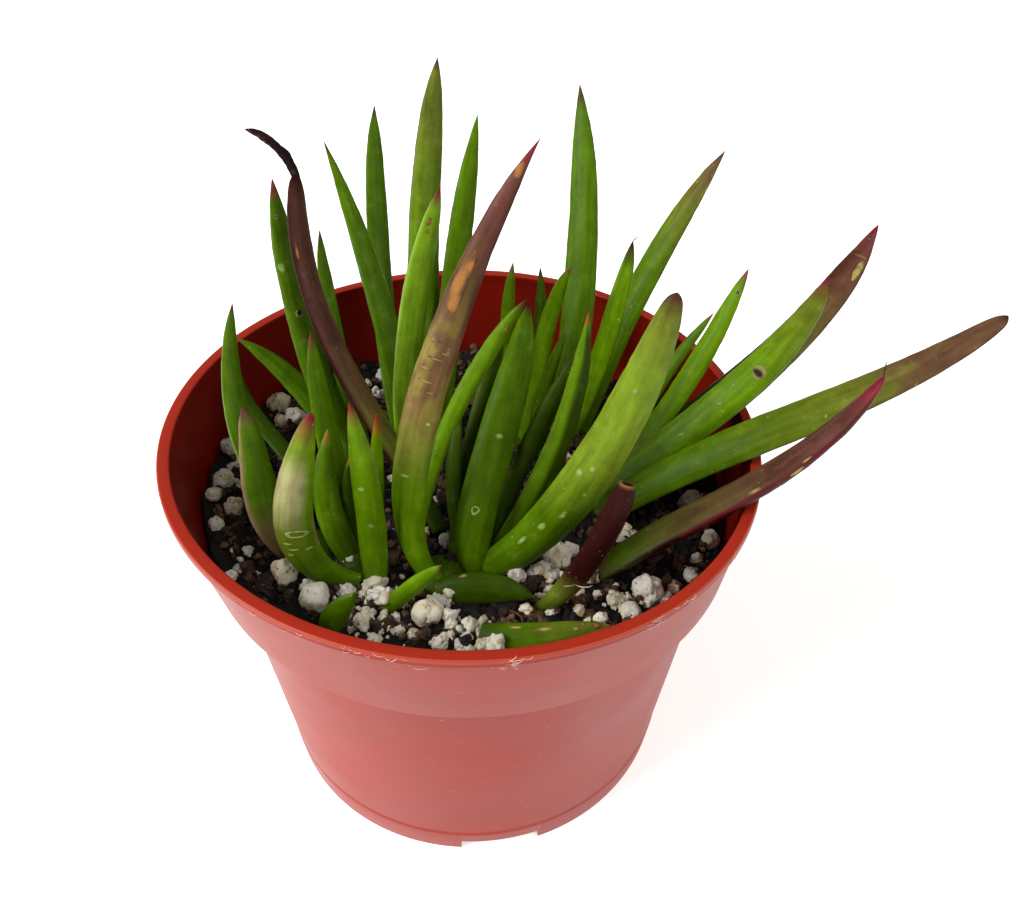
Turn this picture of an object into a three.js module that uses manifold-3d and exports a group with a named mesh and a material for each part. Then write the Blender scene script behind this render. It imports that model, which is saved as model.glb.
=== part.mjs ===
// A potted Crassula hirta: a thin moulded nursery pot filled with dark potting soil and loose perlite, and
// a clump of rosettes of long fleshy leaves that grows out of it.
// Millimetres, +Z up. The origin is the middle of the pot's flat underside. +X is the side over which the
// longest leaves reach, and -Y is the side with the drain notch nearest the front.
import * as THREE from "three";
import { mergeVertices } from "three/addons/utils/BufferGeometryUtils.js";
import Module from "manifold-3d";

const wasm = await Module();
wasm.setup();

// Driving dimensions of the pot, a 4 inch (102 mm) nursery pot
const POT_HEIGHT = 75;
const RIM_RADIUS = 51;
const LIP_WIDTH = 2; // flat top of the rim
const LIP_HEIGHT = 1.8;
const LIP_OVERHANG = 0.8; // of the lip beyond the band under it
const WALL = 1.3;
const FLOOR = 1.5;
const EDGE = 0.3; // small bevel on the lip
const BAND_HEIGHT = 19; // the wider collar under the rim
const BAND_FOOT_RADIUS = 47;
const SHOULDER_RADIUS = 44; // top of the wall, under the band
const SHOULDER_DROP = 0.8; // the slope inside the pot from the band to the wall
const HEEL_HEIGHT = 6; // faint step near the base
const HEEL_STEP = 0.4;
const BASE_RADIUS = 39.5;
const POT_SEGMENTS = 60;

// The thin pot is a little out of round: its band is pushed in on the side under the longest leaves
const SQUEEZE = 2.8; // at the rim, none at the band's foot
const SQUEEZE_TOWARDS = THREE.MathUtils.degToRad(8);
const SQUEEZE_SPREAD = THREE.MathUtils.degToRad(78); // to each side

// Four drain notches in the lower edge, the first a little right of the front
const NOTCH_COUNT = 4;
const NOTCH_FIRST = THREE.MathUtils.degToRad(-84);
const NOTCH_WIDTH = 15;
const NOTCH_HEIGHT = 3;
const NOTCH_INNER = 33; // where each notch starts, from the middle of the floor

// Soil: its middle and least level, its tilt along X and Y, and the clearance to everything that it touches
const SOIL_LEVEL = 60;
const SOIL_LEAST = 58.6;
const SOIL_TILT_X = -0.06;
const SOIL_TILT_Y = -0.05;
const CLEARANCE = 0.4;
const SOIL_SEGMENTS = 40;
const SOIL_RINGS = [0.2, 0.4, 0.58, 0.74, 0.88];

// Leaves: the middle of the clump, which the upper faces look towards, and the form of a blade
const CLUMP_AXIS = new THREE.Vector3(0, -2, 0);
const FACE_LIFT = 0.5; // how far up the upper faces look
const LEAF_SIDES = 8;
const LEAF_RINGS = [0, 0.17, 0.34, 0.5, 0.65, 0.79, 0.9, 0.97];
const UPPER_BULGE = 0.19; // of the width, above the blade's middle plane
const LOWER_BULGE = 0.32; // of the width, below it
const TAPER = 0.14; // share of the length over which most tips grow to about two thirds of the width
const FOOT_WIDTH = 0.74; // width at the foot, as a share of the greatest width
const WIDEST_AT = 0.45; // share of the length
const ROUNDING = 0.012; // share of the length over which a blunt tip closes
const CUT_HOLLOW = 0.8; // depth of the hollow in the end of the leaf that was cut off

// The short stems of the rosettes, each sunk in its hole in the soil
const STEM_RADIUS = 4.2;
const STEM_HALF_HEIGHT = 4;
const STEM_SUNK = 1.2; // of its middle, below the soil
const STEM_SIDES = 12;

// Perlite: how far a grain sinks in, and how uneven it is
const GRAIN_SUNK = 0.3; // share of its radius below the soil
const GRAIN_UNEVEN = 0.26;
const DIMPLE_SPREAD = 1.05; // of the bowl that it lies in, over its own radius

// Rosettes. Each leaf has a path: the foot in the soil, one or two bends that pull the curve, and the tip.
// Width is its greatest width, turn rolls the blade about its own length, and taper is its own share in
// place of TAPER. Blunt is the share of its width that a rounded tip keeps to the end. A leaf whose end was
// cut off has no taper.
const ROSETTES = {
  rosette_front_left: {
    stems: [[-18, -22]],
    leaves: [
      {
        path: [[-19, -25, 62], [-30, -27, 68], [-27, -26, 80], [-22, -23, 94]],
        width: 6.6,
        turn: 45,
        taper: 0.26,
        blunt: 0.12,
      },
      { path: [[-16, -25, 62], [-15, -24, 78], [-17, -22, 95]], width: 4.8, turn: 30, taper: 0.22 },
      { path: [[-19, -22, 62], [-25, -19, 72], [-22, -14, 84]], width: 5, turn: 60, taper: 0.25 },
      { path: [[-19, -21, 62], [-21, -18, 71], [-19, -16, 80]], width: 2.7, turn: 50, taper: 0.25 },
      { path: [[-18, -21, 62], [-23, -14, 79], [-24, -6, 96]], width: 4.5, turn: -60, taper: 0.16 },
      { path: [[-16, -20, 62], [-15, -18, 75], [-14, -18, 90]], width: 2.2, turn: 30 },
    ],
  },
  rosette_left: {
    stems: [[-26, -18]],
    leaves: [
      { path: [[-26, -17, 62], [-42, -7, 72], [-39, 10, 91]], width: 4.6, turn: -40, taper: 0.2 },
      {
        path: [[-27, -20, 62], [-36, -18, 67], [-33, -12, 76], [-36, -7, 83]],
        width: 5.6,
        turn: -60,
        taper: 0.16,
      },
      { path: [[-24, -15, 62], [-29, 3, 66], [-42, 3, 72], [-42, 16, 77]], width: 3.2, turn: -40 },
    ],
  },
  rosette_mid_left: {
    stems: [[-19, -1]],
    leaves: [
      { path: [[-19, -3, 61], [-29, 6, 82], [-33, 26, 105]], width: 5.2, turn: -25 },
      { path: [[-18, 0, 61], [-24, 8, 79], [-25, 18, 100]], width: 3.4, turn: -25 },
      { path: [[-21, 2, 61], [-30, 16, 72], [-42, 18, 79]], width: 5, turn: -25, taper: 0.24 },
    ],
  },
  rosette_back_left: {
    stems: [[-13, 8]],
    leaves: [
      {
        path: [[-12, 9, 60], [-14, 18, 78], [-19, 30, 90], [-27, 45, 104]],
        width: 5.5,
        turn: 0,
        taper: 0.28,
      },
      { path: [[-14, 12, 60], [-19, 36, 86], [-18, 52, 108]], width: 4.4, turn: 0, taper: 0.12 },
      { path: [[-12, 4, 61], [-13, 9, 85], [-5, 15, 109]], width: 5.7, turn: 0 },
    ],
  },
  rosette_back: {
    stems: [[-7, 14]],
    leaves: [
      { path: [[-9, 13, 60], [-11, 32, 87], [-6, 51, 117]], width: 5.9, turn: 0, taper: 0.12 },
      { path: [[-7, 16, 60], [-4, 27, 86], [1, 38, 112]], width: 5, turn: 0, taper: 0.18 },
      { path: [[-7, 13, 60], [-7, 25, 77], [-2, 37, 95]], width: 2.8, turn: 0 },
    ],
  },
  rosette_back_middle: {
    stems: [[9, 15]],
    leaves: [
      { path: [[9, 12, 59], [13, 20, 86], [16, 12, 97]], width: 3.7, turn: 0 },
      { path: [[11, 12, 59], [10, 6, 72], [15, 4, 90]], width: 3.3, turn: 0, taper: 0.16 },
      { path: [[6, 17, 59], [5, 21, 76], [7, 23, 92]], width: 2.8, turn: 0 },
      { path: [[10, 18, 58], [13, 20, 72], [12, 25, 90]], width: 2.8, turn: 0 },
    ],
  },
  rosette_back_right: {
    stems: [[18, 17]],
    leaves: [
      { path: [[17, 19, 58], [23, 35, 85], [20, 52, 113]], width: 6.7, turn: 0, taper: 0.18 },
      { path: [[18, 15, 58], [25, 17, 79], [27, 18, 99]], width: 4.6, turn: 0, taper: 0.12 },
      { path: [[20, 16, 58], [29, 28, 85], [45, 35, 108]], width: 5.9, turn: 0, taper: 0.16 },
    ],
  },
  rosette_right: {
    stems: [[22, -4]],
    leaves: [
      { path: [[23, -1, 59], [36, 1, 77], [45, 9, 99]], width: 4.4, turn: 30 },
      { path: [[24, 0, 58], [31, 9, 75], [41, 10, 90]], width: 2.8, turn: 30 },
      { path: [[21, -5, 59], [36, -1, 73], [50, -8, 92], [62, 16, 94]], width: 6.2, turn: 45, taper: 0.16 },
      { path: [[22, -2, 59], [39, -6, 82], [62, 15, 80], [75, 30, 97]], width: 7.1, turn: 40, taper: 0.12 },
      {
        path: [[22, -7, 59], [41, -12, 82], [62, -11, 84.6], [87, 0, 96]],
        width: 6.6,
        turn: 35,
        taper: 0.12,
        blunt: 0.3,
      },
    ],
  },
  rosettes_middle: {
    stems: [[-6, -24], [1, -20]],
    leaves: [
      {
        path: [[-6, -25, 62], [-19, -24, 75], [2, -4, 114], [8.7, -8, 126]],
        width: 6.7,
        turn: 0,
        taper: 0.32,
      },
      { path: [[-9, -21, 62], [-11, -10, 72], [2, -4, 92], [8, -3, 100]], width: 3, turn: 0, taper: 0.1 },
      { path: [[-6, -28, 62], [3, -28, 65], [9, -30, 63]], width: 5.6, turn: -60, taper: 0.24 },
      {
        path: [[-1, -22, 61], [-1, -21, 76], [7, -1, 81], [8, -6, 101]],
        width: 6.8,
        turn: -40,
        taper: 0.2,
      },
      { path: [[-3, -19, 61], [-1, -8, 75], [5, 4, 92]], width: 4.8, turn: 0, taper: 0.2 },
      { path: [[-2, -20, 61], [-5, -13, 74], [-2, -7, 84]], width: 3.5, turn: 0, taper: 0.24 },
      { path: [[3, -18, 60], [16, -13, 79], [17, -6, 100]], width: 4.4, turn: -60, taper: 0.2 },
      { path: [[2, -17, 61], [8, -10, 77], [16, -5, 92]], width: 3.5, turn: -60 },
      {
        path: [[2, -22, 61], [15, -24, 74], [22, -24, 94], [25, -25, 114]],
        width: 7.7,
        turn: -55,
        taper: 0.22,
        blunt: 0.28,
      },
    ],
  },
};

// Single leaves that root by themselves, with no stem of their own. One is bent back, and the end of it has
// dried to a thin dark tip.
const SINGLE_LEAVES = {
  leaf_low_right: {
    path: [[20, -22, 60], [32, -24, 76], [51, -20, 78], [60, -17, 96]],
    width: 7.2,
    turn: 15,
    taper: 0.2,
    blunt: 0.2,
  },
  leaf_bent_back: {
    path: [[-6, -13, 61], [-17, 3.5, 76], [-28.5, 3, 89], [-28, 21, 108]],
    width: 4.5,
    turn: -20,
    taper: 0.1,
    blunt: 0.5,
    dryTip: {
      path: [[-28, 20.7, 106.8], [-28.6, 22, 110], [-32, 25.5, 112.5], [-36.2, 26.4, 112.7]],
      width: 1.8,
      turn: 0,
    },
  },
  leaf_cut_off: { path: [[10, -30, 60], [17, -33, 71], [21, -31, 88]], width: 3.9, turn: -50, taper: 0 },
  leaf_at_front_rim: {
    path: [[0.5, -36.5, 61.5], [9, -39.5, 61.5], [20, -37, 64.5]],
    width: 7,
    turn: -60,
    taper: 0.24,
  },
  shoot_front: { path: [[-14, -31, 62], [-9, -31, 68], [-5, -32, 73]], width: 3.1, turn: -20, taper: 0.22 },
  bud_front_left: {
    path: [[-22, -36, 63], [-21, -36, 67], [-17, -36, 72]],
    width: 4,
    turn: 0,
    taper: 0.24,
  },
};

const PURPLE_LEAVES = ["leaf_low_right", "leaf_cut_off", "leaf_bent_back"];

// Perlite grains that show: [x, y, radius]
const GRAINS = [
  [-38, 22, 2.5], [-34, 17, 2.4], [-43.5, 6.3, 2.3], [-43.6, -1.8, 2.3], [-44, -7, 1.6], [-40, -9.9, 2],
  [-42.3, -13.4, 1.6], [-37.7, -25.5, 1.3], [-29.6, -24.9, 2.7], [-24.5, -30.3, 2.7], [-18.5, 33, 2.2],
  [-17.8, 28.2, 1.4], [-14, -33.4, 1.1], [-17.1, -34.6, 1.5], [-7.1, -6, 1.2], [-5, -16.1, 1.6],
  [-7.5, -32.9, 2.6], [-3.9, -34.8, 1.2], [-0.8, -34.6, 1.4], [-5.5, -38.4, 1.5], [-2.4, -38.4, 1.3],
  [-9.5, -36.4, 1.3], [4, -42.4, 1.7], [9.7, -23, 1.8], [13.7, -19.2, 2.9], [17.8, -24.2, 1.2],
  [25.8, -12.5, 1.8], [27.7, -27, 3], [24.3, -31.6, 2], [19.2, -33.2, 1.4], [39, -4.1, 2.5],
  [40.6, -14.8, 2], [37.7, -18.2, 1.3], [35.6, -23.1, 1.5],
];
const SEED = 11;

// A closed mesh's geometry as a solid that can be joined and cut.
function solid(geometry) {
  const bare = geometry.index ? geometry.clone() : mergeVertices(geometry);
  for (const name of Object.keys(bare.attributes)) {
    if (name !== "position") bare.deleteAttribute(name);
  }
  const merged = mergeVertices(bare, 1e-3);
  return new wasm.Manifold(
    new wasm.Mesh({
      numProp: 3,
      vertProperties: new Float32Array(merged.attributes.position.array),
      triVerts: new Uint32Array(merged.index.array),
    }),
  );
}

// The largest body of a solid, without the loose scraps that a cut may leave.
function largestBody(made) {
  return made.decompose().reduce((a, b) => (b.volume() > a.volume() ? b : a));
}

// A solid as a named mesh with its own material.
function mesh(name, made, material) {
  const { vertProperties, triVerts } = made.getMesh();
  const geometry = new THREE.BufferGeometry()
    .setAttribute("position", new THREE.BufferAttribute(new Float32Array(vertProperties), 3))
    .setIndex(new THREE.BufferAttribute(new Uint32Array(triVerts), 1));
  geometry.computeVertexNormals();
  const node = new THREE.Mesh(geometry, material);
  node.name = name;
  return node;
}

// A round body from a profile of [radius, height] pairs that starts and ends on the axis.
function turned(profile, segments) {
  const points = profile.map(([r, z]) => new THREE.Vector2(r, z));
  return new THREE.LatheGeometry(points, segments).rotateX(Math.PI / 2);
}

// Radius of the pot's inner face inside the band, at a height.
const BAND_FOOT = POT_HEIGHT - BAND_HEIGHT;
const BAND_TOP = POT_HEIGHT - LIP_HEIGHT;
const LEDGE = BAND_FOOT + WALL; // inside the pot, over the band's foot
const BAND_TOP_RADIUS = RIM_RADIUS - LIP_OVERHANG;
function bandInside(z) {
  const share = (z - BAND_FOOT) / (BAND_TOP - BAND_FOOT);
  return THREE.MathUtils.lerp(BAND_FOOT_RADIUS, BAND_TOP_RADIUS, share) - WALL;
}

// The same geometry with the pot's band, or what lies inside it, pushed in on one side.
function squeezed(geometry) {
  const place = geometry.attributes.position;
  for (let i = 0; i < place.count; i += 1) {
    const [x, y, z] = [place.getX(i), place.getY(i), place.getZ(i)];
    const off = Math.min(1, Math.abs(Math.atan2(y, x) - SQUEEZE_TOWARDS) / SQUEEZE_SPREAD);
    const rise = Math.max(0, (z - BAND_FOOT) / BAND_HEIGHT);
    const keep = 1 - (SQUEEZE / RIM_RADIUS) * rise * Math.cos((off * Math.PI) / 2) ** 2;
    place.setXYZ(i, x * keep, y * keep, z);
  }
  return geometry;
}

// The pot: one thin shell with a lip, a wider band under it, a tapered wall and a notched lower edge.
function pot() {
  const heel = BASE_RADIUS + (SHOULDER_RADIUS - BASE_RADIUS) * (HEEL_HEIGHT / BAND_FOOT);
  const outside = [
    [0, 0], [BASE_RADIUS, 0], [heel, HEEL_HEIGHT], [heel - HEEL_STEP, HEEL_HEIGHT + HEEL_STEP],
    [SHOULDER_RADIUS, BAND_FOOT], [BAND_FOOT_RADIUS, BAND_FOOT], [BAND_TOP_RADIUS, BAND_TOP],
    [RIM_RADIUS, BAND_TOP + EDGE], [RIM_RADIUS, POT_HEIGHT - EDGE], [RIM_RADIUS - EDGE, POT_HEIGHT],
  ];
  const inside = [
    [RIM_RADIUS - LIP_WIDTH, POT_HEIGHT], [BAND_TOP_RADIUS - WALL, BAND_TOP],
    [bandInside(LEDGE), LEDGE], [SHOULDER_RADIUS - WALL, LEDGE - SHOULDER_DROP],
    [BASE_RADIUS - WALL, FLOOR], [0, FLOOR],
  ];
  let shell = solid(squeezed(turned([...outside, ...inside], POT_SEGMENTS)));
  const depth = BASE_RADIUS + WALL * 2 - NOTCH_INNER;
  for (let i = 0; i < NOTCH_COUNT; i += 1) {
    const cutter = new THREE.BoxGeometry(depth, NOTCH_WIDTH, NOTCH_HEIGHT * 2)
      .translate(NOTCH_INNER + depth / 2, 0, 0)
      .rotateZ(NOTCH_FIRST + (i * 2 * Math.PI) / NOTCH_COUNT);
    shell = shell.subtract(solid(cutter));
  }
  return shell;
}

// Height of the soil: a slight tilt that levels off at the back, and low uneven waves.
function soilHeight(x, y) {
  const level = Math.max(SOIL_LEAST, SOIL_LEVEL + SOIL_TILT_X * x + SOIL_TILT_Y * y);
  const waves = 0.5 * Math.sin(0.5 * x + 1) * Math.cos(0.45 * y) + 0.3 * Math.sin(0.9 * y - 0.6 * x);
  return level + waves;
}

// The soil body fills the pot up to its uneven top, whose edge follows the inner face of the band.
function soilBody() {
  const under = LEDGE + CLEARANCE;
  const profile = [
    [0, FLOOR + CLEARANCE], [BASE_RADIUS - WALL - CLEARANCE, FLOOR + CLEARANCE],
    [SHOULDER_RADIUS - WALL - CLEARANCE, under - SHOULDER_DROP], [bandInside(under) - CLEARANCE, under],
    [1, POT_HEIGHT], ...SOIL_RINGS.toReversed().map((share) => [share, POT_HEIGHT]), [0, POT_HEIGHT],
  ];
  const body = turned(profile, SOIL_SEGMENTS);
  const place = body.attributes.position;
  for (let i = 0; i < place.count; i += 1) {
    if (place.getZ(i) < POT_HEIGHT - EDGE) continue;
    const share = Math.hypot(place.getX(i), place.getY(i));
    const around = Math.atan2(place.getY(i), place.getX(i));
    const level = soilHeight(Math.cos(around) * SHOULDER_RADIUS, Math.sin(around) * SHOULDER_RADIUS);
    const reach = share * (bandInside(level) - 2 * CLEARANCE);
    const x = Math.cos(around) * reach;
    const y = Math.sin(around) * reach;
    place.setXYZ(i, x, y, soilHeight(x, y));
  }
  return solid(squeezed(body));
}

// Share of a blade's greatest width at a share s of its length, from foot (0) to tip (1).
function widthAt(s, taper, blunt) {
  const swell = Math.min(s / WIDEST_AT, 1);
  const foot = FOOT_WIDTH + (1 - FOOT_WIDTH) * swell * (2 - swell);
  if (!taper) return foot;
  return foot * (1 - (1 - blunt) * Math.exp((s - 1) / taper) - blunt * Math.exp((s - 1) / ROUNDING));
}

// A blade: rings of a lens-shaped section along its path, closed at both ends. Grow makes it fatter.
function blade({ path, width, turn, taper = TAPER, blunt = 0 }, grow = 0) {
  const points = path.map(([x, y, z]) => new THREE.Vector3(x, y, z));
  const Curve = path.length === 3 ? THREE.QuadraticBezierCurve3 : THREE.CubicBezierCurve3;
  const curve = new Curve(...points);
  const middle = curve.getPointAt(0.5);
  const face = CLUMP_AXIS.clone().sub(middle).setZ(0).normalize().setZ(FACE_LIFT);
  const rings = taper ? LEAF_RINGS : [...LEAF_RINGS.slice(0, -1), 1];
  const vertices = [];
  const faces = [];
  for (const s of rings) {
    const along = curve.getTangentAt(s);
    const up = face.clone().addScaledVector(along, -face.dot(along)).normalize();
    up.applyAxisAngle(along, THREE.MathUtils.degToRad(turn));
    const across = new THREE.Vector3().crossVectors(up, along);
    const full = width * widthAt(s, taper, blunt);
    const centre = curve.getPointAt(s).addScaledVector(along, s === 0 ? -grow : 0);
    for (let k = 0; k < LEAF_SIDES; k += 1) {
      const angle = (2 * Math.PI * k) / LEAF_SIDES;
      const bulge = full * (Math.sin(angle) > 0 ? UPPER_BULGE : LOWER_BULGE) + grow;
      const vertex = centre
        .clone()
        .addScaledVector(across, Math.cos(angle) * (full / 2 + grow))
        .addScaledVector(up, Math.sin(angle) * bulge);
      vertices.push(...vertex.toArray());
    }
  }
  const foot = points[0].clone().addScaledVector(curve.getTangentAt(0), -grow);
  const tip = points.at(-1).clone().addScaledVector(curve.getTangentAt(1), taper ? grow : -CUT_HOLLOW);
  const footIndex = vertices.length / 3;
  vertices.push(...foot.toArray(), ...tip.toArray());
  const lastRing = (rings.length - 1) * LEAF_SIDES;
  for (let k = 0; k < LEAF_SIDES; k += 1) {
    const next = (k + 1) % LEAF_SIDES;
    faces.push(footIndex, next, k, footIndex + 1, lastRing + k, lastRing + next);
    for (let ring = 0; ring < lastRing; ring += LEAF_SIDES) {
      const [a, b, c, d] = [ring + k, ring + next, ring + LEAF_SIDES + next, ring + LEAF_SIDES + k];
      faces.push(a, b, c, a, c, d);
    }
  }
  const geometry = new THREE.BufferGeometry()
    .setAttribute("position", new THREE.Float32BufferAttribute(vertices, 3))
    .setIndex(faces);
  return solid(geometry);
}

// A short stem: a rounded stub, most of it below the soil.
function stem([x, y]) {
  const stub = new THREE.SphereGeometry(1, STEM_SIDES, 6)
    .rotateX(Math.PI / 2)
    .scale(STEM_RADIUS, STEM_RADIUS, STEM_HALF_HEIGHT)
    .translate(x, y, soilHeight(x, y) - STEM_SUNK);
  return solid(stub);
}

// The plain round hole in the soil that a stem stands in.
function stemHole([x, y]) {
  const depth = 2 * (STEM_SUNK + STEM_HALF_HEIGHT + CLEARANCE);
  const radius = STEM_RADIUS + CLEARANCE;
  const hole = new THREE.CylinderGeometry(radius, radius, depth, STEM_SIDES).rotateX(Math.PI / 2);
  return solid(hole.translate(x, y, soilHeight(x, y)));
}

// A rosette: its short stems with every leaf's foot sunk in them.
function rosette({ stems, leaves }) {
  const pieces = [...stems.map(stem), ...leaves.map((leaf) => blade(leaf))];
  return pieces.reduce((joined, piece) => joined.add(piece));
}

// A repeatable draw of numbers from 0 to 1.
function drawFrom(seed) {
  let state = seed;
  return () => {
    state = (state * 16807) % 2147483647;
    return state / 2147483647;
  };
}

// A perlite grain: a rounded lump with an uneven skin, sunk a little in the soil.
function grain([x, y, radius], seed) {
  const draw = drawFrom(seed);
  draw();
  const loose = new THREE.DodecahedronGeometry(1).deleteAttribute("normal").deleteAttribute("uv");
  const shape = mergeVertices(loose);
  const place = shape.attributes.position;
  for (let i = 0; i < place.count; i += 1) {
    const reach = radius * (1 - GRAIN_UNEVEN * draw());
    place.setXYZ(i, place.getX(i) * reach, place.getY(i) * reach, place.getZ(i) * reach);
  }
  shape.rotateZ(2 * Math.PI * draw());
  shape.translate(x, y, soilHeight(x, y) + radius * (1 - 2 * GRAIN_SUNK));
  return solid(shape);
}

// The dimple that a grain lies in, a plain bowl.
function dimple([x, y, radius]) {
  const bowl = new THREE.SphereGeometry(radius * DIMPLE_SPREAD + CLEARANCE, 9, 6).rotateX(Math.PI / 2);
  return solid(bowl.translate(x, y, soilHeight(x, y) + radius * (1 - 2 * GRAIN_SUNK)));
}

const terracottaPlastic = new THREE.MeshStandardMaterial({ color: 0xa9432f, roughness: 0.45, metalness: 0 });
const pottingSoil = new THREE.MeshStandardMaterial({ color: 0x2a1f19, roughness: 1, metalness: 0 });
const greenLeaf = new THREE.MeshStandardMaterial({ color: 0x5f8a1e, roughness: 0.4, metalness: 0 });
const purpleLeaf = new THREE.MeshStandardMaterial({ color: 0x6e4038, roughness: 0.4, metalness: 0 });
const perlite = new THREE.MeshStandardMaterial({ color: 0xd9d4c4, roughness: 0.95, metalness: 0 });

const plant = new THREE.Group();
let soil = soilBody();
for (const [name, row] of Object.entries(ROSETTES)) {
  plant.add(mesh(name, rosette(row), greenLeaf.clone()));
  for (const place of row.stems) soil = soil.subtract(stemHole(place));
  for (const leaf of row.leaves) soil = soil.subtract(blade(leaf, CLEARANCE));
}
for (const [name, row] of Object.entries(SINGLE_LEAVES)) {
  const colour = PURPLE_LEAVES.includes(name) ? purpleLeaf : greenLeaf;
  const whole = row.dryTip ? blade(row).add(blade(row.dryTip)) : blade(row);
  plant.add(mesh(name, whole, colour.clone()));
  soil = soil.subtract(blade(row, CLEARANCE));
}

const grains = new THREE.Group();
GRAINS.forEach((row, i) => {
  const number = String(i + 1).padStart(2, "0");
  grains.add(mesh(`perlite_${number}`, grain(row, SEED + i), perlite.clone()));
  soil = soil.subtract(dimple(row));
});

const object = new THREE.Group();
object.add(mesh("pot", pot(), terracottaPlastic), mesh("soil", largestBody(soil), pottingSoil));
object.add(plant, grains);

export default object;
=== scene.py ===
# %% [markdown]
# A potted Crassula hirta: a terracotta-coloured nursery pot, dark soil with white perlite, and a clump of
# long fleshy leaves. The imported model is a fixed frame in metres, +Z up, with its origin in the middle of
# the pot's flat underside. Each piece below is a finer surface in its node's place, inside the model's box.

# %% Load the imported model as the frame
import math

import bpy
import numpy as np
from mathutils import Matrix, Vector


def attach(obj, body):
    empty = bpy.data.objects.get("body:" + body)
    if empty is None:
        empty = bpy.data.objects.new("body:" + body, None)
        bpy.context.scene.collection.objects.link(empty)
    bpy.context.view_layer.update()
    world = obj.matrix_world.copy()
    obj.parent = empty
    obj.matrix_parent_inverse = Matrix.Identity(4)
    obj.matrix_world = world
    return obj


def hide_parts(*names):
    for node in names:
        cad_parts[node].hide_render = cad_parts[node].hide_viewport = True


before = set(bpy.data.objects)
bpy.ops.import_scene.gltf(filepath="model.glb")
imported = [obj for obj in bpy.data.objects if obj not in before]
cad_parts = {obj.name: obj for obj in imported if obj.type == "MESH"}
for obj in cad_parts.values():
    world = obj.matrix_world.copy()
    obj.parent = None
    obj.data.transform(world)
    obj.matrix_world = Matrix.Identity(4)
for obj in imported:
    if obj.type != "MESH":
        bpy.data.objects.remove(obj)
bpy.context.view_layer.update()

MM = 0.001

# %% [markdown]
# Every surface here is a grid of points worked out with numpy: rings carried along a Bezier curve, or round
# the pot's axis. The same few helpers turn such a grid into a closed mesh, and keep the numbers that the
# materials need at each point as attributes of the mesh.


# %% Curves, and closed surfaces from rings of points
def unit(vectors):
    """The vectors scaled to length 1."""
    return vectors / np.linalg.norm(vectors, axis=-1, keepdims=True)


def bezier(points, t):
    """A Bezier curve: its points weighted by Bernstein's polynomials, C(n, k) t^k (1 - t)^(n - k)."""
    n = len(points) - 1
    return sum(math.comb(n, k) * t**k * (1 - t) ** (n - k) * p for k, p in enumerate(points))


def even_angles(sides):
    """Angles that share out a full turn."""
    return np.linspace(0, 2 * math.pi, sides, endpoint=False)


def round_axis(reach, angle, height):
    """Places round the Z axis: x is reach times the angle's cosine, y is reach times its sine."""
    return np.stack(np.broadcast_arrays(reach * np.cos(angle), reach * np.sin(angle), height), -1)


def ball_points(rings, sides):
    """A unit ball: rings from the lowest point to the highest at even polar angles, then those two points."""
    polar = np.linspace(0, math.pi, rings + 2)[1:-1, None]
    grid = round_axis(np.sin(polar), even_angles(sides), -np.cos(polar))
    return np.concatenate([grid.reshape(-1, 3), [[0, 0, -1], [0, 0, 1]]])


def ring_faces(rings, sides, first=0):
    """Quads between neighbouring rings, and a fan that closes each end on a point of its own.

    The points are numbered ring after ring from `first`, then the start's point, then the end's.
    """
    here = np.arange(sides)
    beside = (here + 1) % sides
    start = np.arange(rings - 1)[:, None] * sides
    quads = np.stack([start + here, start + beside, start + sides + beside, start + sides + here], -1) + first
    foot, last = rings * sides + first, (rings - 1) * sides + first
    closing = [np.full(sides, foot), beside + first, here + first]
    ending = [np.full(sides, foot + 1), last + here, last + beside]
    return quads.reshape(-1, 4).tolist() + np.stack(closing, -1).tolist() + np.stack(ending, -1).tolist()


def same_faces(count, rings, sides, first=0):
    """The faces of many such surfaces, numbered one after another."""
    return [face for n in range(count) for face in ring_faces(rings, sides, first + n * (rings * sides + 2))]


ATTRIBUTE_KINDS = {1: ("FLOAT", "value"), 3: ("FLOAT_VECTOR", "vector"), 4: ("FLOAT_COLOR", "color")}


def give_values(mesh, values):
    """Keeps numbers, vectors or colours at each point, as attributes that a material can read by name."""
    for key, numbers in values.items():
        kind, field = ATTRIBUTE_KINDS[np.shape(numbers)[1] if np.ndim(numbers) == 2 else 1]
        layer = mesh.attributes.new(key, kind, "POINT")
        layer.data.foreach_set(field, np.ascontiguousarray(numbers, np.float32).ravel())


def make_object(name, points, faces, values=None, smooth=True):
    """A mesh object from points in millimetres and faces, with its values at each point."""
    mesh = bpy.data.meshes.new(name)
    mesh.from_pydata(np.asarray(points) * MM, [], faces)
    give_values(mesh, values or {})
    mesh.polygons.foreach_set("use_smooth", np.full(len(mesh.polygons), smooth))
    mesh.update()
    piece = bpy.data.objects.new(name, mesh)
    bpy.context.scene.collection.objects.link(piece)
    return piece


def add_to_plant(piece, slot, material, *nodes):
    """Gives the piece its material, puts it on the one body, and hides the nodes it stands for. The slot is
    not used.
    """
    piece.data.materials.append(material)
    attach(piece, "root")
    if nodes:
        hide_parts(*nodes)
    print(piece.name, "triangles:", sum(len(face.vertices) - 2 for face in piece.data.polygons))


# %% [markdown]
# Soil, perlite and leaf skin are uneven, so they share one kind of noise. Seeded random numbers sit on the
# corners of a grid of cubes, and a point blends the eight around it. Coarse and fine noise give lumps with
# smaller lumps on them, and noise without its sign gives rounded lumps between creases, as on popcorn.


# %% Seeded noise
TABLE_SIZE = 4096
HASH = (73856093, 19349663, 83492791)


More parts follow.
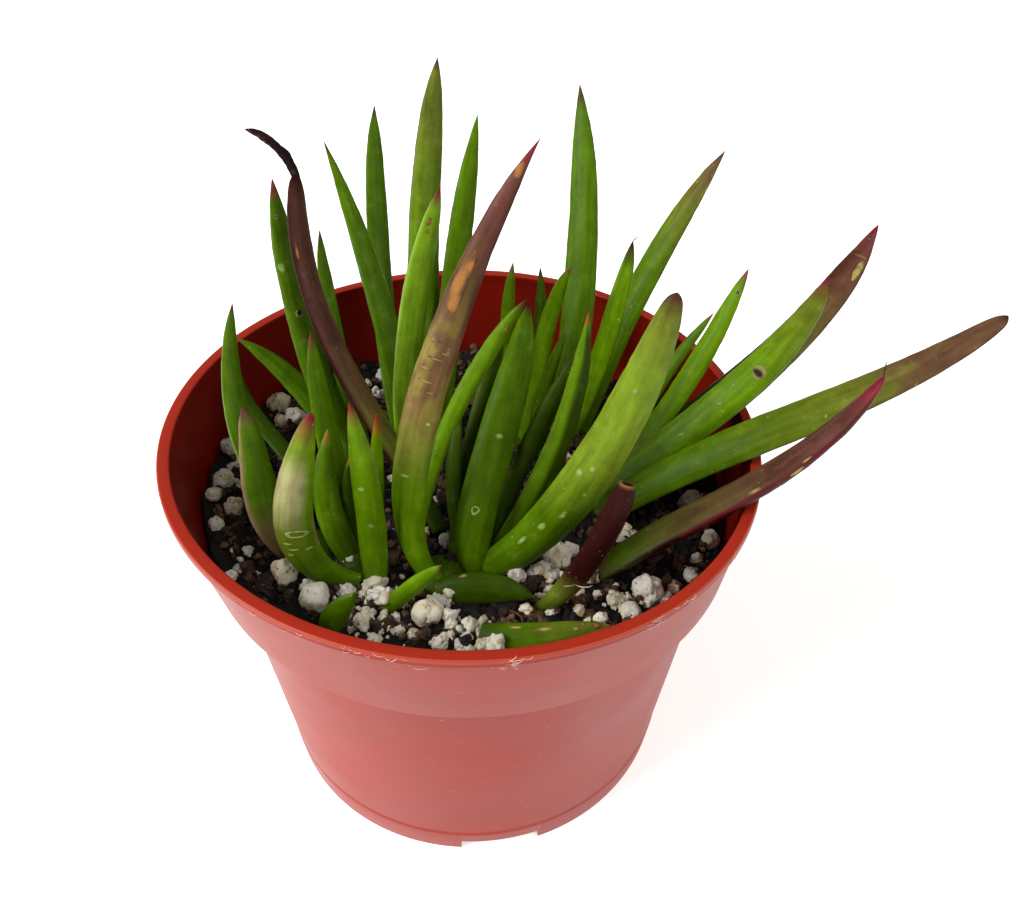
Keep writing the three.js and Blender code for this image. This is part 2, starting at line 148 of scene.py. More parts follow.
def noise(points, cell, seed):
    """Numbers from -1 to 1 that change smoothly over `cell` millimetres, blended with 3t^2 - 2t^3."""
    table = np.random.default_rng(seed).uniform(-1, 1, TABLE_SIZE)
    place = np.asarray(points) / np.reshape(cell, (-1, 1))
    low = np.floor(place).astype(np.int64)
    part = place - low
    part = part * part * (3 - 2 * part)
    total = np.zeros(len(place))
    for corner in np.ndindex(2, 2, 2):
        x, y, z = (low + corner).T
        key = (x * HASH[0] ^ y * HASH[1] ^ z * HASH[2]) % TABLE_SIZE
        total += np.where(corner, part, 1 - part).prod(axis=1) * table[key]
    return total


def rough(points, cell, octaves, seed):
    """The sum of noises whose cells and strengths halve from one to the next."""
    return sum(noise(points, cell / 2**k, seed + k) / 2**k for k in range(octaves))


def popped(points, cell, octaves, seed):
    """The same sum of the noises' sizes, so that it swells in rounded lumps between sharp creases."""
    return sum((2 * np.abs(noise(points, cell / 2**k, seed + k)) - 0.5) / 2**k for k in range(octaves))


# %% [markdown]
# Colours are written as the sRGB hex values that a paint program shows, and the renderer wants linear light.
# One small function adds a node with its settings and its inputs, each a plain value or another node's
# output. A finish is built as a painter would: a ground, and layers over it that come in where a pattern is
# strong.


# %% Helpers for materials
def linear(colour):
    """sRGB hex to linear red, green, blue and 1: v/12.92 in the darks, ((v + 0.055)/1.055)^2.4 above them."""
    value = np.array([int(colour[i:i + 2], 16) for i in (1, 3, 5)]) / 255
    bright = ((value + 0.055) / 1.055) ** 2.4
    return (*np.where(value <= 0.04045, value / 12.92, bright), 1.0)


def connect(tree, made, inputs):
    """Sets a node's inputs to plain values, or links them to other nodes' outputs."""
    for key, value in inputs.items():
        if isinstance(value, bpy.types.NodeSocket):
            tree.links.new(value, made.inputs[key])
        else:
            made.inputs[key].default_value = value


def add(tree, kind, inputs, output=0, **settings):
    """Adds a shader node with its settings and inputs, and gives one of its outputs."""
    made = tree.nodes.new("ShaderNode" + kind)
    for key, value in settings.items():
        setattr(made, key, value)
    connect(tree, made, inputs)
    return made.outputs[output]


def new_material(name):
    """An empty material, with its node tree and its principled shader already wired to the output."""
    material = bpy.data.materials.new(name)
    material.use_nodes = True
    tree = material.node_tree
    tree.nodes.clear()
    shader = tree.nodes.new("ShaderNodeBsdfPrincipled")
    connect(tree, tree.nodes.new("ShaderNodeOutputMaterial"), {"Surface": shader.outputs["BSDF"]})
    return material, tree, shader


def layered(tree, ground, layers):
    """Colours over a ground: each has a pattern, the values where it starts and is full, and a strength."""
    for pattern, low, high, strength, colour in layers:
        inputs = {0: pattern, 1: low, 2: high, 4: strength}
        amount = add(tree, "MapRange", inputs, interpolation_type="SMOOTHSTEP")
        colour = linear(colour) if isinstance(colour, str) else colour
        ground = add(tree, "Mix", {0: amount, 6: ground, 7: colour}, 2, data_type="RGBA")
    return ground


def in_millimetres(tree, stretch=(1, 1, 1)):
    """Object coordinates in millimetres, stretched along the axes."""
    scale = tuple(s / MM for s in stretch)
    return add(tree, "Mapping", {"Vector": add(tree, "TexCoord", {}, "Object"), "Scale": scale})


# %% [markdown]
# The camera stands where the photograph's did: in front of the pot and above it, looking down by about 43
# degrees with a slight roll. Its lens comes from the photograph's width of 1024 pixels and a focal length of
# 900, and a small shift puts the picture's middle where the photograph has it.

# %% Camera
IMAGE_WIDTH, IMAGE_HEIGHT = 1024, 914
FOCAL_PIXELS = 900
CENTRE_PIXEL = (560, 500)
CAMERA_PLACE = (0, -122, 170)
YAW, PITCH, ROLL = (math.radians(angle) for angle in (7.3, 42.9, 4.4))
SENSOR_MM = 36

forward = np.array([math.sin(YAW) * math.cos(PITCH), math.cos(YAW) * math.cos(PITCH), -math.sin(PITCH)])
level = np.array([math.cos(YAW), -math.sin(YAW), 0])
above = np.cross(level, forward)
right = math.cos(ROLL) * level + math.sin(ROLL) * above
upward = math.cos(ROLL) * above - math.sin(ROLL) * level

lens = bpy.data.cameras.new("camera")
lens.sensor_width = SENSOR_MM
lens.lens = FOCAL_PIXELS / IMAGE_WIDTH * SENSOR_MM
lens.shift_x = (IMAGE_WIDTH / 2 - CENTRE_PIXEL[0]) / IMAGE_WIDTH
lens.shift_y = (CENTRE_PIXEL[1] - IMAGE_HEIGHT / 2) / IMAGE_WIDTH
lens.clip_start = 0.01
camera = bpy.data.objects.new("camera", lens)
turned = np.eye(4)
turned[:3, :3] = np.stack([right, upward, -forward], axis=1)
turned[:3, 3] = np.array(CAMERA_PLACE) * MM
camera.matrix_world = Matrix(turned.tolist())
bpy.context.scene.collection.objects.link(camera)
bpy.context.scene.camera = camera
print("lens in mm:", round(lens.lens, 2))

# %% [markdown]
# The photograph was taken on white paper in strong soft daylight, so bright that the paper is washed out. It
# comes mostly from the left, with a weaker light from the right. Two broad suns give that, a pale world
# fills in, and the paper is a backlit diffuser that glows a little by itself.

# %% Floor and light
FLOOR_SIZE = 3.0
WORLD_STRENGTH, PAPER_GLOW = 0.28, 0.56

scene = bpy.context.scene
scene.view_settings.view_transform = "Standard"
world = bpy.data.worlds.new("white room")
world.use_nodes = True
background = world.node_tree.nodes["Background"]
connect(world.node_tree, background, {"Color": linear("#fffdfa"), "Strength": WORLD_STRENGTH})
scene.world = world


def window_light(name, comes_from, strength, softness):
    """A distant light as wide as `softness` degrees, which comes from a direction."""
    light = bpy.data.lights.new(name, "SUN")
    light.energy, light.angle = strength, math.radians(softness)
    made = bpy.data.objects.new(name, light)
    made.rotation_euler = Vector(comes_from).to_track_quat("Z", "Y").to_euler()
    scene.collection.objects.link(made)


window_light("window_left", (-0.9, -0.25, 0.6), 4.2, 40)
window_light("window_right", (0.6, -0.45, 0.7), 1.3, 50)

paper, tree, shader = new_material("backlit white paper")
white = linear("#f6f5f3")
glow = {"Emission Color": white, "Emission Strength": PAPER_GLOW}
connect(tree, shader, {"Base Color": white, "Roughness": 0.9, **glow})
corners = np.array([[-1, -1, 0], [1, -1, 0], [1, 1, 0], [-1, 1, 0]]) * (FLOOR_SIZE / 2 / MM)
floor = make_object("floor", corners, [[0, 1, 2, 3]])
floor.data.materials.append(paper)

# %% [markdown]
# The pot is injection-moulded polypropylene, thin and a little out of round. A turned profile fits it: up
# the outside past the heel, over the band and the lip, down the inside and back to the axis. Each corner of
# the profile is rounded off, because a moulded edge catches a thin line of light. The four drain notches in
# the lower edge are cut out of the finished shell.

# %% Pot
POT_HEIGHT, RIM_RADIUS, LIP_WIDTH, LIP_HEIGHT, LIP_OVERHANG = 75, 51, 2, 1.8, 0.8
WALL, POT_FLOOR = 1.3, 1.5
BAND_HEIGHT, BAND_FOOT_RADIUS, SHOULDER_RADIUS, SHOULDER_DROP = 19, 47, 44, 0.8
HEEL_HEIGHT, HEEL_STEP, BASE_RADIUS, CORNER_RADIUS = 6, 0.12, 39.5, 0.35
BAND_FOOT, BAND_TOP = POT_HEIGHT - BAND_HEIGHT, POT_HEIGHT - LIP_HEIGHT
BAND_TOP_RADIUS = RIM_RADIUS - LIP_OVERHANG
LEDGE = BAND_FOOT + WALL
SQUEEZE, SQUEEZE_TOWARDS, SQUEEZE_SPREAD = 2.8, math.radians(8), math.radians(78)
NOTCH_COUNT, NOTCH_FIRST, NOTCH_WIDTH, NOTCH_HEIGHT, NOTCH_INNER = 4, math.radians(-84), 15, 3, 33
POT_SIDES = 288


def band_inside(height):
    """Radius of the band's inner face at a height."""
    share = (height - BAND_FOOT) / (BAND_TOP - BAND_FOOT)
    return BAND_FOOT_RADIUS + (BAND_TOP_RADIUS - BAND_FOOT_RADIUS) * share - WALL


def squeeze_at(points):
    """The share to which the pushed-in band shrinks: a squared cosine round the push, growing with height."""
    x, y, z = points.T
    off = np.minimum(1, np.abs(np.arctan2(y, x) - SQUEEZE_TOWARDS) / SQUEEZE_SPREAD)
    rise = np.maximum(0, (z - BAND_FOOT) / BAND_HEIGHT)
    return 1 - SQUEEZE / RIM_RADIUS * rise * np.cos(off * math.pi / 2) ** 2


def squeezed(points):
    """The points with their x and y shrunk by the squeeze."""
    return np.hstack([points[:, :2] * squeeze_at(points)[:, None], points[:, 2:]])


def rounded(profile, radius, steps=5):
    """Each inner corner of an outline becomes a short parabola between points set back from it."""
    corners = np.array(profile, float)
    out = [corners[:1]]
    t = np.linspace(0, 1, steps)[:, None]
    for before, corner, after in zip(corners, corners[1:], corners[2:]):
        arms = (before - corner, after - corner)
        near = [corner + arm * min(0.45, radius / np.linalg.norm(arm)) for arm in arms]
        out.append(bezier([near[0], corner, near[1]], t))
    return np.concatenate([*out, corners[-1:]])


heel_radius = BASE_RADIUS + (SHOULDER_RADIUS - BASE_RADIUS) * HEEL_HEIGHT / BAND_FOOT
profile = rounded([
    (0, 0), (BASE_RADIUS, 0), (heel_radius, HEEL_HEIGHT), (heel_radius - HEEL_STEP, HEEL_HEIGHT + 0.7),
    (SHOULDER_RADIUS, BAND_FOOT - 0.2), (BAND_FOOT_RADIUS, BAND_FOOT), (BAND_TOP_RADIUS, BAND_TOP),
    (RIM_RADIUS, BAND_TOP + 0.2), (RIM_RADIUS, POT_HEIGHT), (RIM_RADIUS - LIP_WIDTH, POT_HEIGHT),
    (BAND_TOP_RADIUS - WALL, BAND_TOP), (band_inside(LEDGE), LEDGE),
    (SHOULDER_RADIUS - WALL, LEDGE - SHOULDER_DROP), (BASE_RADIUS - WALL, POT_FLOOR), (0, POT_FLOOR),
], CORNER_RADIUS)
around = round_axis(profile[1:-1, 0, None], even_angles(POT_SIDES), profile[1:-1, 1, None])
ends = [[0, 0, profile[0, 1]], [0, 0, profile[-1, 1]]]
shell = np.concatenate([around.reshape(-1, 3), ends])
pot = make_object("pot_moulded", squeezed(shell), ring_faces(len(profile) - 2, POT_SIDES))

depth = BASE_RADIUS + 2 * WALL - NOTCH_INNER
square = ((0, -1), (1, -1), (1, 1), (0, 1))
sides = [[0, 3, 2, 1], [4, 5, 6, 7], [0, 1, 5, 4], [1, 2, 6, 5], [2, 3, 7, 6], [3, 0, 4, 7]]
for number in range(NOTCH_COUNT):
    out = round_axis(1, NOTCH_FIRST + 2 * math.pi * number / NOTCH_COUNT, 0)
    across = np.cross((0, 0, 1), out) * NOTCH_WIDTH / 2
    corners = [(a, b, c) for c in (-NOTCH_HEIGHT, NOTCH_HEIGHT) for a, b in square]
    box = [out * (NOTCH_INNER + a * depth) + across * b + (0, 0, c) for a, b, c in corners]
    cutter = make_object("notch_cutter", box, sides, smooth=False)
    cut = pot.modifiers.new("notch", "BOOLEAN")
    cut.operation, cut.solver, cut.object = "DIFFERENCE", "EXACT", cutter
    with bpy.context.temp_override(object=pot, active_object=pot):
        bpy.ops.object.modifier_apply(modifier=cut.name)
    bpy.data.objects.remove(cutter)

# %% [markdown]
# The plastic was moulded against polished steel, so it is satin and smooth. The lip and the inside are a
# deep red: the lip's top is painted lighter, painted light where the light falls on it, and the inside darker,
# painted shade in the pot's hollow. The outside has picked up a chalky film of lime and dust, and its colour
# also carries a painted sheen; together they turn it pinker. The lip's outer edge is a thin pale line, partly
# rubbed wear and partly a painted highlight. Each point keeps how much dust and sheen, wear and highlight it
# has, and whether it is the lip's top.

# %% Pot material
# The outside's dust and painted sheen stop just below the lip's top; the pale line of wear and painted
# highlight lies along the lip's outer edge
DUST_AND_SHEEN_TOP, WEAR_AND_HIGHLIGHT_BELOW, WEAR_AND_HIGHLIGHT_FROM = POT_HEIGHT - 0.25, 0.5, RIM_RADIUS - 0.3

place = np.empty(len(pot.data.vertices) * 3)
pot.data.vertices.foreach_get("co", place)
place = place.reshape(-1, 3) / MM
reach = np.hypot(place[:, 0], place[:, 1]) / squeeze_at(place)
height = place[:, 2]
heights = [0, BAND_FOOT - 0.1, BAND_FOOT, BAND_TOP]
wall_outside = np.interp(height, heights, [BASE_RADIUS, SHOULDER_RADIUS, BAND_FOOT_RADIUS, BAND_TOP_RADIUS])
# How much dust and painted sheen: full on the wall's outer face, none inside
dust_and_sheen = np.clip((reach - wall_outside + WALL / 2) / (WALL / 3), 0, 1) * (height < DUST_AND_SHEEN_TOP)
# A thin pale line along the lip's outer edge: rubbed wear and a painted highlight
wear_and_highlight = (reach > WEAR_AND_HIGHLIGHT_FROM) & (height > POT_HEIGHT - WEAR_AND_HIGHLIGHT_BELOW) & (height < POT_HEIGHT - 0.02)
# The lip's flat top, painted a lighter red: painted light
lip_top_painted_light = (height > POT_HEIGHT - 0.1) & (dust_and_sheen < 0.5)
give_values(pot.data, {"dust_and_sheen": dust_and_sheen, "wear_and_highlight": wear_and_highlight.astype(float), "lip_top_painted_light": lip_top_painted_light.astype(float)})

plastic, tree, shader = new_material("moulded polypropylene, terracotta")
place = in_millimetres(tree)
banded, rubbed = in_millimetres(tree, (0.04, 0.04, 1)), in_millimetres(tree, (0.35, 0.35, 3))
rings, cloud, specks, rubs = (
    add(tree, "TexNoise", {"Vector": where, "Scale": 1 / size, "Detail": detail})
    for where, size, detail in ((banded, 2.5, 2), (place, 22, 3), (place, 0.7, 1), (rubbed, 2.2, 3)))
dust_and_sheen, wear_and_highlight, lip_top_painted_light = (add(tree, "Attribute", {}, "Fac", attribute_name=key) for key in ("dust_and_sheen", "wear_and_highlight", "lip_top_painted_light"))
# The outside's colour: dust, rubs and specks, lighter and pinker than the inside as a painted sheen
outside = layered(tree, linear("#8b2215"), [
    (cloud, 0.35, 0.65, 1.0, "#932a1c"),
    (rings, 0.35, 0.7, 0.4, "#822012"),
    (rubs, 0.68, 0.78, 0.3, "#b86e5e"),
    (specks, 0.79, 0.82, 0.5, "#d8a696"),
])
# The inside is painted a darker red than the outside: painted shade in the pot's hollow. The lip's top over it
# is painted lighter: painted light
inside_painted_shade = layered(tree, linear("#781408"), [
    (cloud, 0.35, 0.65, 1.0, "#6c1105"),
    (lip_top_painted_light, 0.0, 1.0, 1.0, "#992716"),
])
# The outside over the inside, then the pale edge line of wear and painted highlight
body = layered(tree, inside_painted_shade, [(dust_and_sheen, 0.0, 1.0, 1.0, outside), (wear_and_highlight, 0.3, 1.0, 0.3, "#c96a52")])
smooth = add(tree, "MapRange", {0: cloud, 1: 0.3, 2: 0.7, 3: 0.3, 4: 0.42})
bumps = add(tree, "Bump", {"Height": rings, "Strength": 0.06, "Distance": 0.0002})
connect(tree, shader, {"Base Color": body, "Roughness": smooth, "Normal": bumps, "Specular IOR Level": 0.15})
add_to_plant(pot, "pot_plastic", plastic, "pot")

# %% [markdown]
# Where the pot has been knocked or scraped, tiny curls of whitened plastic hang on the lip's lower edge, and
# they crowd in two places at the front right. A curl is a thin bent tube. The same tubes serve for the
# fibres in the soil and the dry hairs on the leaves, so one function makes any number of them in one mesh.


# %% Thin tubes
def tubes(name, starts, bends, ends, radius, tone, rings=9, sides=4):
    """Thin tubes in one mesh. Each is a parabola that its bend pulls aside, and it thins to both ends."""
    t = np.linspace(0, 1, rings)[None, :, None]
    starts, bends, ends = (np.asarray(p, float)[:, None] for p in (starts, bends, ends))
    centre = bezier([starts, bends, ends], t)
    heading = unit(bezier([bends - starts, ends - bends], t))
    first = unit(np.cross(heading, (0.2, 0.3, 0.93)))
    second = np.cross(heading, first)
    angle = even_angles(sides)[:, None]
    thin = (np.reshape(radius, (-1, 1, 1)) * (1 - 0.75 * np.abs(2 * t - 1) ** 3))[:, :, None]
    outward = np.cos(angle) * first[:, :, None] + np.sin(angle) * second[:, :, None]
    skin = centre[:, :, None] + thin * outward
    points = np.concatenate([skin.reshape(len(skin), -1, 3), centre[:, [0, -1]]], axis=1)
    values = {"tone": np.repeat(tone, points.shape[1])}
    return make_object(name, points.reshape(-1, 3), same_faces(len(skin), rings, sides), values)


# %% Scuffs on the lip
# Middle and spread of each patch in degrees, and how many scuffs are in it
SCUFF_PATCHES = [(-86, 4, 22), (-62, 2.5, 22), (-57, 7, 12), (-100, 20, 14), (-125, 14, 7), (-45, 12, 8),
                 (90, 70, 16)]
SCUFF_LENGTH, SCUFF_RADIUS = (0.3, 2.4), (0.018, 0.05)


def on_band(angle, out, height):
    """Places on the lip's outer face or the band under it, moved out a little, squeezed, kept in the box."""
    reach = np.where(height < BAND_TOP, BAND_TOP_RADIUS + 0.1, RIM_RADIUS) + out
    return squeezed(round_axis(reach, angle, height)).clip(0.06 - RIM_RADIUS)


draw = np.random.default_rng(71)
angle = [draw.normal(middle, spread / 2, count) for middle, spread, count in SCUFF_PATCHES]
angle = np.radians(np.concatenate(angle))
count = len(angle)
length = draw.uniform(*SCUFF_LENGTH, count)
lean = draw.normal(0, 0.8, count)
low = POT_HEIGHT - 0.08 - draw.uniform(0, 1.65, count) ** 2
start = on_band(angle, -0.05, low)
end = on_band(angle + length * np.cos(lean) / RIM_RADIUS, -0.05, low + length * np.sin(lean) * 0.5)
halfway = angle + length * draw.uniform(0.2, 0.8, count) / RIM_RADIUS
bend = on_band(halfway, 0.25, low + draw.uniform(-0.6, 0.1, count))
thickness = draw.uniform(*SCUFF_RADIUS, count)
scuffs = tubes("rim_scuffs", start, bend, end, thickness, draw.uniform(0, 1, count), 7)

# %% [markdown]
# Potting soil is a loose mix of black peat crumbs, shreds of bark and fibres. Its body is a turned form
# whose top follows the gentle tilt and waves of the packed soil, broken up by creased noise. Over it lie
# loose clods, crumbs, chips and fibres, each a few dozen faces, because it is the gaps between them that
# read as soil.

# %% Soil body
SOIL_LEVEL, SOIL_LEAST, SOIL_TILT_X, SOIL_TILT_Y, CLEARANCE = 60, 58.6, -0.06, -0.05, 0.4
SOIL_SIDES, SOIL_RINGS = 360, 110
SOIL_SEED, CLOD_SIZE, CLOD_HEIGHT, CREASE_SIZE, CREASE_HEIGHT = 5, 6, 0.5, 2.0, 0.85


def soil_height(x, y):
    """A slight tilt that levels off at the back, and low uneven waves."""
    level = np.maximum(SOIL_LEAST, SOIL_LEVEL + SOIL_TILT_X * x + SOIL_TILT_Y * y)
    return level + 0.5 * np.sin(0.5 * x + 1) * np.cos(0.45 * y) + 0.3 * np.sin(0.9 * y - 0.6 * x)


def soil_reach(around):
    """Radius of the soil's edge before the squeeze, in a direction from the axis."""
    level = soil_height(np.cos(around) * SHOULDER_RADIUS, np.sin(around) * SHOULDER_RADIUS)
    return band_inside(level) - 2 * CLEARANCE


def lumpy_top(x, y):
    """The soil's height with its clods: broad lumps, and creased ones whose cells halve twice."""
    flat = np.stack([x, y, 0 * x], -1)
    clods = CLOD_HEIGHT * noise(flat, CLOD_SIZE, SOIL_SEED)
    creases = CREASE_HEIGHT * popped(flat, CREASE_SIZE, 3, SOIL_SEED + 3)
    return soil_height(x, y) + clods + creases - 0.35


around = even_angles(SOIL_SIDES)
reach = np.linspace(1, 0.008, SOIL_RINGS)[:, None] * soil_reach(around)
top = round_axis(reach, around, 0.0).reshape(-1, 3)
top[:, 2] = lumpy_top(*top[:, :2].T)
under = LEDGE + CLEARANCE
lower = [(BASE_RADIUS - WALL - CLEARANCE, POT_FLOOR + CLEARANCE),
         (SHOULDER_RADIUS - WALL - CLEARANCE, under - SHOULDER_DROP), (band_inside(under) - CLEARANCE, under)]
walls = [round_axis(reach, around, height) for reach, height in lower]
ends = [[0, 0, POT_FLOOR + CLEARANCE], [0, 0, soil_height(0, 0)]]
body = np.concatenate([*walls, top, ends])
soil = make_object("potting_soil", squeezed(body), ring_faces(len(lower) + SOIL_RINGS, SOIL_SIDES))


# %% Loose clods, crumbs and chips
def scattered(count, seed, most=0.97):
    """Random places spread evenly over the soil, as x, y and the height of the soil there."""
    draw = np.random.default_rng(seed)
    angle = draw.uniform(-math.pi, math.pi, count)
    spots = round_axis(np.sqrt(draw.uniform(0, most**2, count)) * soil_reach(angle), angle, 0.0)
    spots[:, 2] = lumpy_top(*spots[:, :2].T)
    return squeezed(spots)


def turns(count, draw):
    """Random rotations, as 3 by 3 matrices from unit quaternions."""
    four = draw.normal(size=(4, count))
    w, x, y, z = four / np.linalg.norm(four, axis=0)
    rows = [[1 - 2 * (y * y + z * z), 2 * (x * y - w * z), 2 * (x * z + w * y)],
            [2 * (x * y + w * z), 1 - 2 * (x * x + z * z), 2 * (y * z - w * x)],
            [2 * (x * z - w * y), 2 * (y * z + w * x), 1 - 2 * (x * x + y * y)]]
    return np.array(rows).transpose(2, 0, 1)


def lumps(name, places, sizes, flatness, seed, rings=4, sides=7, uneven=0.3, smooth=False):
    """Many small lumps in one mesh: balls that swell and crease by noise, flattened, and turned any way."""
    draw = np.random.default_rng(seed)
    ball, count = ball_points(rings, sides), len(places)
    spot = (ball[None] + 9.0 * np.arange(count)[:, None, None]).reshape(-1, 3)
    swell = 1 + uneven * popped(spot, 0.8, 2, seed).reshape(count, -1, 1)
    shapes = ball * swell * draw.uniform(1 - uneven, 1, (count, 1, 3)) * flatness
    shapes = np.einsum("nij,nkj->nki", turns(count, draw), shapes) * np.asarray(sizes)[:, None, None]
    points = (shapes + np.asarray(places)[:, None]).reshape(-1, 3)
    tone = np.repeat(draw.uniform(0, 1, count), len(ball))
    # The creases' value makes the perlite material darker there: painted shade
    crease = np.clip(1.1 - 1.2 * swell.ravel(), 0, 1)
    return make_object(name, points, same_faces(count, rings, sides), {"tone": tone, "pit_shade": crease}, smooth)


CLODS, CRUMBS, CHIPS, FIBRES = 420, 2400, 130, 190
RAISED = (0, 0, 0.2)
draw = np.random.default_rng(21)
spots, sizes = scattered(CLODS, 27, 0.94) + RAISED, draw.uniform(0.6, 2.0, CLODS)
clods = lumps("soil_clods", spots, sizes, (1, 0.85, 0.7), 28, 8, 12, 0.6)
spots, sizes = scattered(CRUMBS, 22) + RAISED, draw.uniform(0.25, 1.2, CRUMBS)
crumbs = lumps("soil_crumbs", spots, sizes, (1, 0.8, 0.65), 23)
chips = lumps("bark_chips", scattered(CHIPS, 24, 0.93), draw.uniform(1.0, 2.6, CHIPS), (1, 0.5, 0.22), 25)

middle = scattered(FIBRES, 26, 0.9)
heading = draw.uniform(0, 2 * math.pi, FIBRES)
reach = round_axis(draw.uniform(1, 3.2, FIBRES), heading, 0)
bend = middle + draw.normal(size=(FIBRES, 3)) * (1.2, 1.2, 0.4) + (0, 0, 1.1)
thickness = draw.uniform(0.05, 0.14, FIBRES)
fibres = tubes("soil_fibres", middle - reach, bend, middle + reach, thickness, draw.uniform(0, 1, FIBRES))

# %% [markdown]
# Moist peat is nearly black and quite matt, and bark shreds in it are dark red-brown. Each loose piece has
# its own tone, kept as an attribute, so that neighbours differ.


# %% Materials of the loose things
def earth(name, dark, light, roughness=0.9, grit=0.6):
    """A matt material whose two colours mix by the piece's own tone and by noise, with fine bumps."""
    material, tree, shader = new_material(name)
    place = in_millimetres(tree)
    tone = add(tree, "Attribute", {}, "Fac", attribute_name="tone")
    fine = add(tree, "TexNoise", {"Vector": place, "Scale": 1 / 0.7, "Detail": 4, "Roughness": 0.65})
    mixed = add(tree, "Math", {0: tone, 1: 0.5, 2: fine}, operation="MULTIPLY_ADD")
    colour = layered(tree, linear(dark), [(mixed, 0.45, 1.15, 1.0, light)])
    bumps = add(tree, "Bump", {"Height": fine, "Strength": grit, "Distance": 0.0003})
    look = {"Base Color": colour, "Normal": bumps, "Roughness": roughness, "Specular IOR Level": 0.3}
    connect(tree, shader, look)
    return material


add_to_plant(soil, "potting_soil", earth("moist peat", "#0b0807", "#3f2c20"), "soil")
add_to_plant(clods, "potting_soil", earth("peat clods", "#0c0807", "#50371f", 0.75))
add_to_plant(crumbs, "potting_soil", earth("peat crumbs", "#0d0907", "#6a4a33", 0.75))
add_to_plant(chips, "potting_soil", earth("shredded bark", "#150d0a", "#4a2f22", 0.6))
add_to_plant(fibres, "potting_soil", earth("bark fibres", "#2b1a12", "#80604a"))
add_to_plant(scuffs, "pot_plastic", earth("whitened plastic curls", "#c98f7e", "#f4d9cc", 0.6, 0.1))

# %% [markdown]
# Perlite is volcanic glass that puffed up like popcorn: a chalky white lump with rounded knobs and open
# bubbles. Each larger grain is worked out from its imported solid. In every direction it reaches as far as the
# solid's flat faces allow, softened at their edges, with knobs and pits added. Smaller broken grains and
# crumbs lie between the large ones, in the drifts that the photograph shows.

# %% Perlite grains
GRAIN_RINGS, GRAIN_SIDES = 30, 46
GRAIN_BALL = ball_points(GRAIN_RINGS, GRAIN_SIDES)
SOFTNESS = 12
# Depths as shares of a grain's size
KNOBS, SMALL_KNOBS, CRUST, PITS = 0.13, 0.06, 0.02, 0.45


def grain_surface(node, seed):
    """The solid's reach in each direction, as a soft least value of its faces' reach, with knobs and pits."""
    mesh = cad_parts[node].data
    corners = np.array([v.co for v in mesh.vertices]) / MM
    centre = (corners.min(axis=0) + corners.max(axis=0)) / 2
    normals = np.array([face.normal for face in mesh.polygons])
    offsets = ((np.array([face.center for face in mesh.polygons]) / MM - centre) * normals).sum(axis=1)
    facing = np.maximum(GRAIN_BALL @ normals.T / offsets, 1e-3)
    reach = (facing**SOFTNESS).mean(axis=1) ** (-1 / SOFTNESS) * 0.88
    size = reach.mean()
    spot = GRAIN_BALL * size + 40.0 * seed
    knobs = KNOBS * size * popped(spot, size * 0.9, 2, seed)
    knobs = knobs + SMALL_KNOBS * size * rough(spot, size * 0.45, 2, seed + 2)
    pits = np.maximum(0, noise(spot, size * 0.22, seed + 5) - 0.45) * PITS * size
    crust = CRUST * size * rough(spot, size * 0.16, 2, seed + 6)
    surface = centre + GRAIN_BALL * (np.minimum(reach + knobs, reach * 1.1) + crust - pits)[:, None]
    # How dark each point is painted in the pits and creases: painted shade in the grain's hollows
    deep = np.clip(pits / (0.12 * size) + np.clip(-knobs / (0.12 * size) - 0.5, 0, 0.6), 0, 1)
    return surface, {"pit_shade": deep, "tone": np.full(len(GRAIN_BALL), (seed * 0.618) % 1)}


# %% Perlite material
chalk, tree, shader = new_material("expanded perlite")
place = in_millimetres(tree)
tone, pit_shade = (add(tree, "Attribute", {}, "Fac", attribute_name=key) for key in ("tone", "pit_shade"))
patches = add(tree, "TexNoise", {"Vector": place, "Scale": 1 / 2.1, "Detail": 4, "Roughness": 0.6})
fine = add(tree, "TexNoise", {"Vector": place, "Scale": 1 / 0.4, "Detail": 4, "Roughness": 0.7})
colour = layered(tree, linear("#cfcabb"), [
    (tone, 0.5, 1.0, 0.6, "#d3c39a"),
    (tone, 0.3, 0.0, 0.7, "#b7bbb6"),
    (patches, 0.5, 0.66, 0.65, "#b49763"),
    (patches, 0.6, 0.72, 0.5, "#a5773a"),
    (fine, 0.56, 0.76, 0.35, "#9c937d"),
    # Pits and creases painted dark grey-brown: painted shade
    (pit_shade, 0.15, 1.0, 0.8, "#63584a"),
])
bumps = add(tree, "Bump", {"Height": fine, "Strength": 0.8, "Distance": 0.0003})
connect(tree, shader, {"Base Color": colour, "Normal": bumps, "Roughness": 0.95, "Specular IOR Level": 0.3})

faces = ring_faces(GRAIN_RINGS, GRAIN_SIDES)
for number, node in enumerate(sorted(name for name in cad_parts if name.startswith("perlite_"))):
    points, values = grain_surface(node, 160 + number)
    grain = make_object(node.replace("perlite", "perlite_grain"), points, faces, values)
    add_to_plant(grain, "perlite", chalk, node)

# %% Smaller perlite
# Drifts: x, y, spread, how many broken grains and how many crumbs
DRIFTS = [(-2, -38, 6.5, 15, 60), (-15, -34, 5.5, 10, 34), (-37, -23, 3, 5, 12), (-42, 2, 4.5, 18, 26),
          (-35, 18, 4, 6, 12), (26, -30, 5, 12, 34), (38, -21, 4, 8, 18), (12, -25, 4.5, 14, 22),
          (-6, -28, 4, 7, 14), (26, -15, 3, 5, 10), (-9, -12, 4, 4, 8), (39, -6, 3, 5, 8), (-20, 30, 4, 4, 8)]
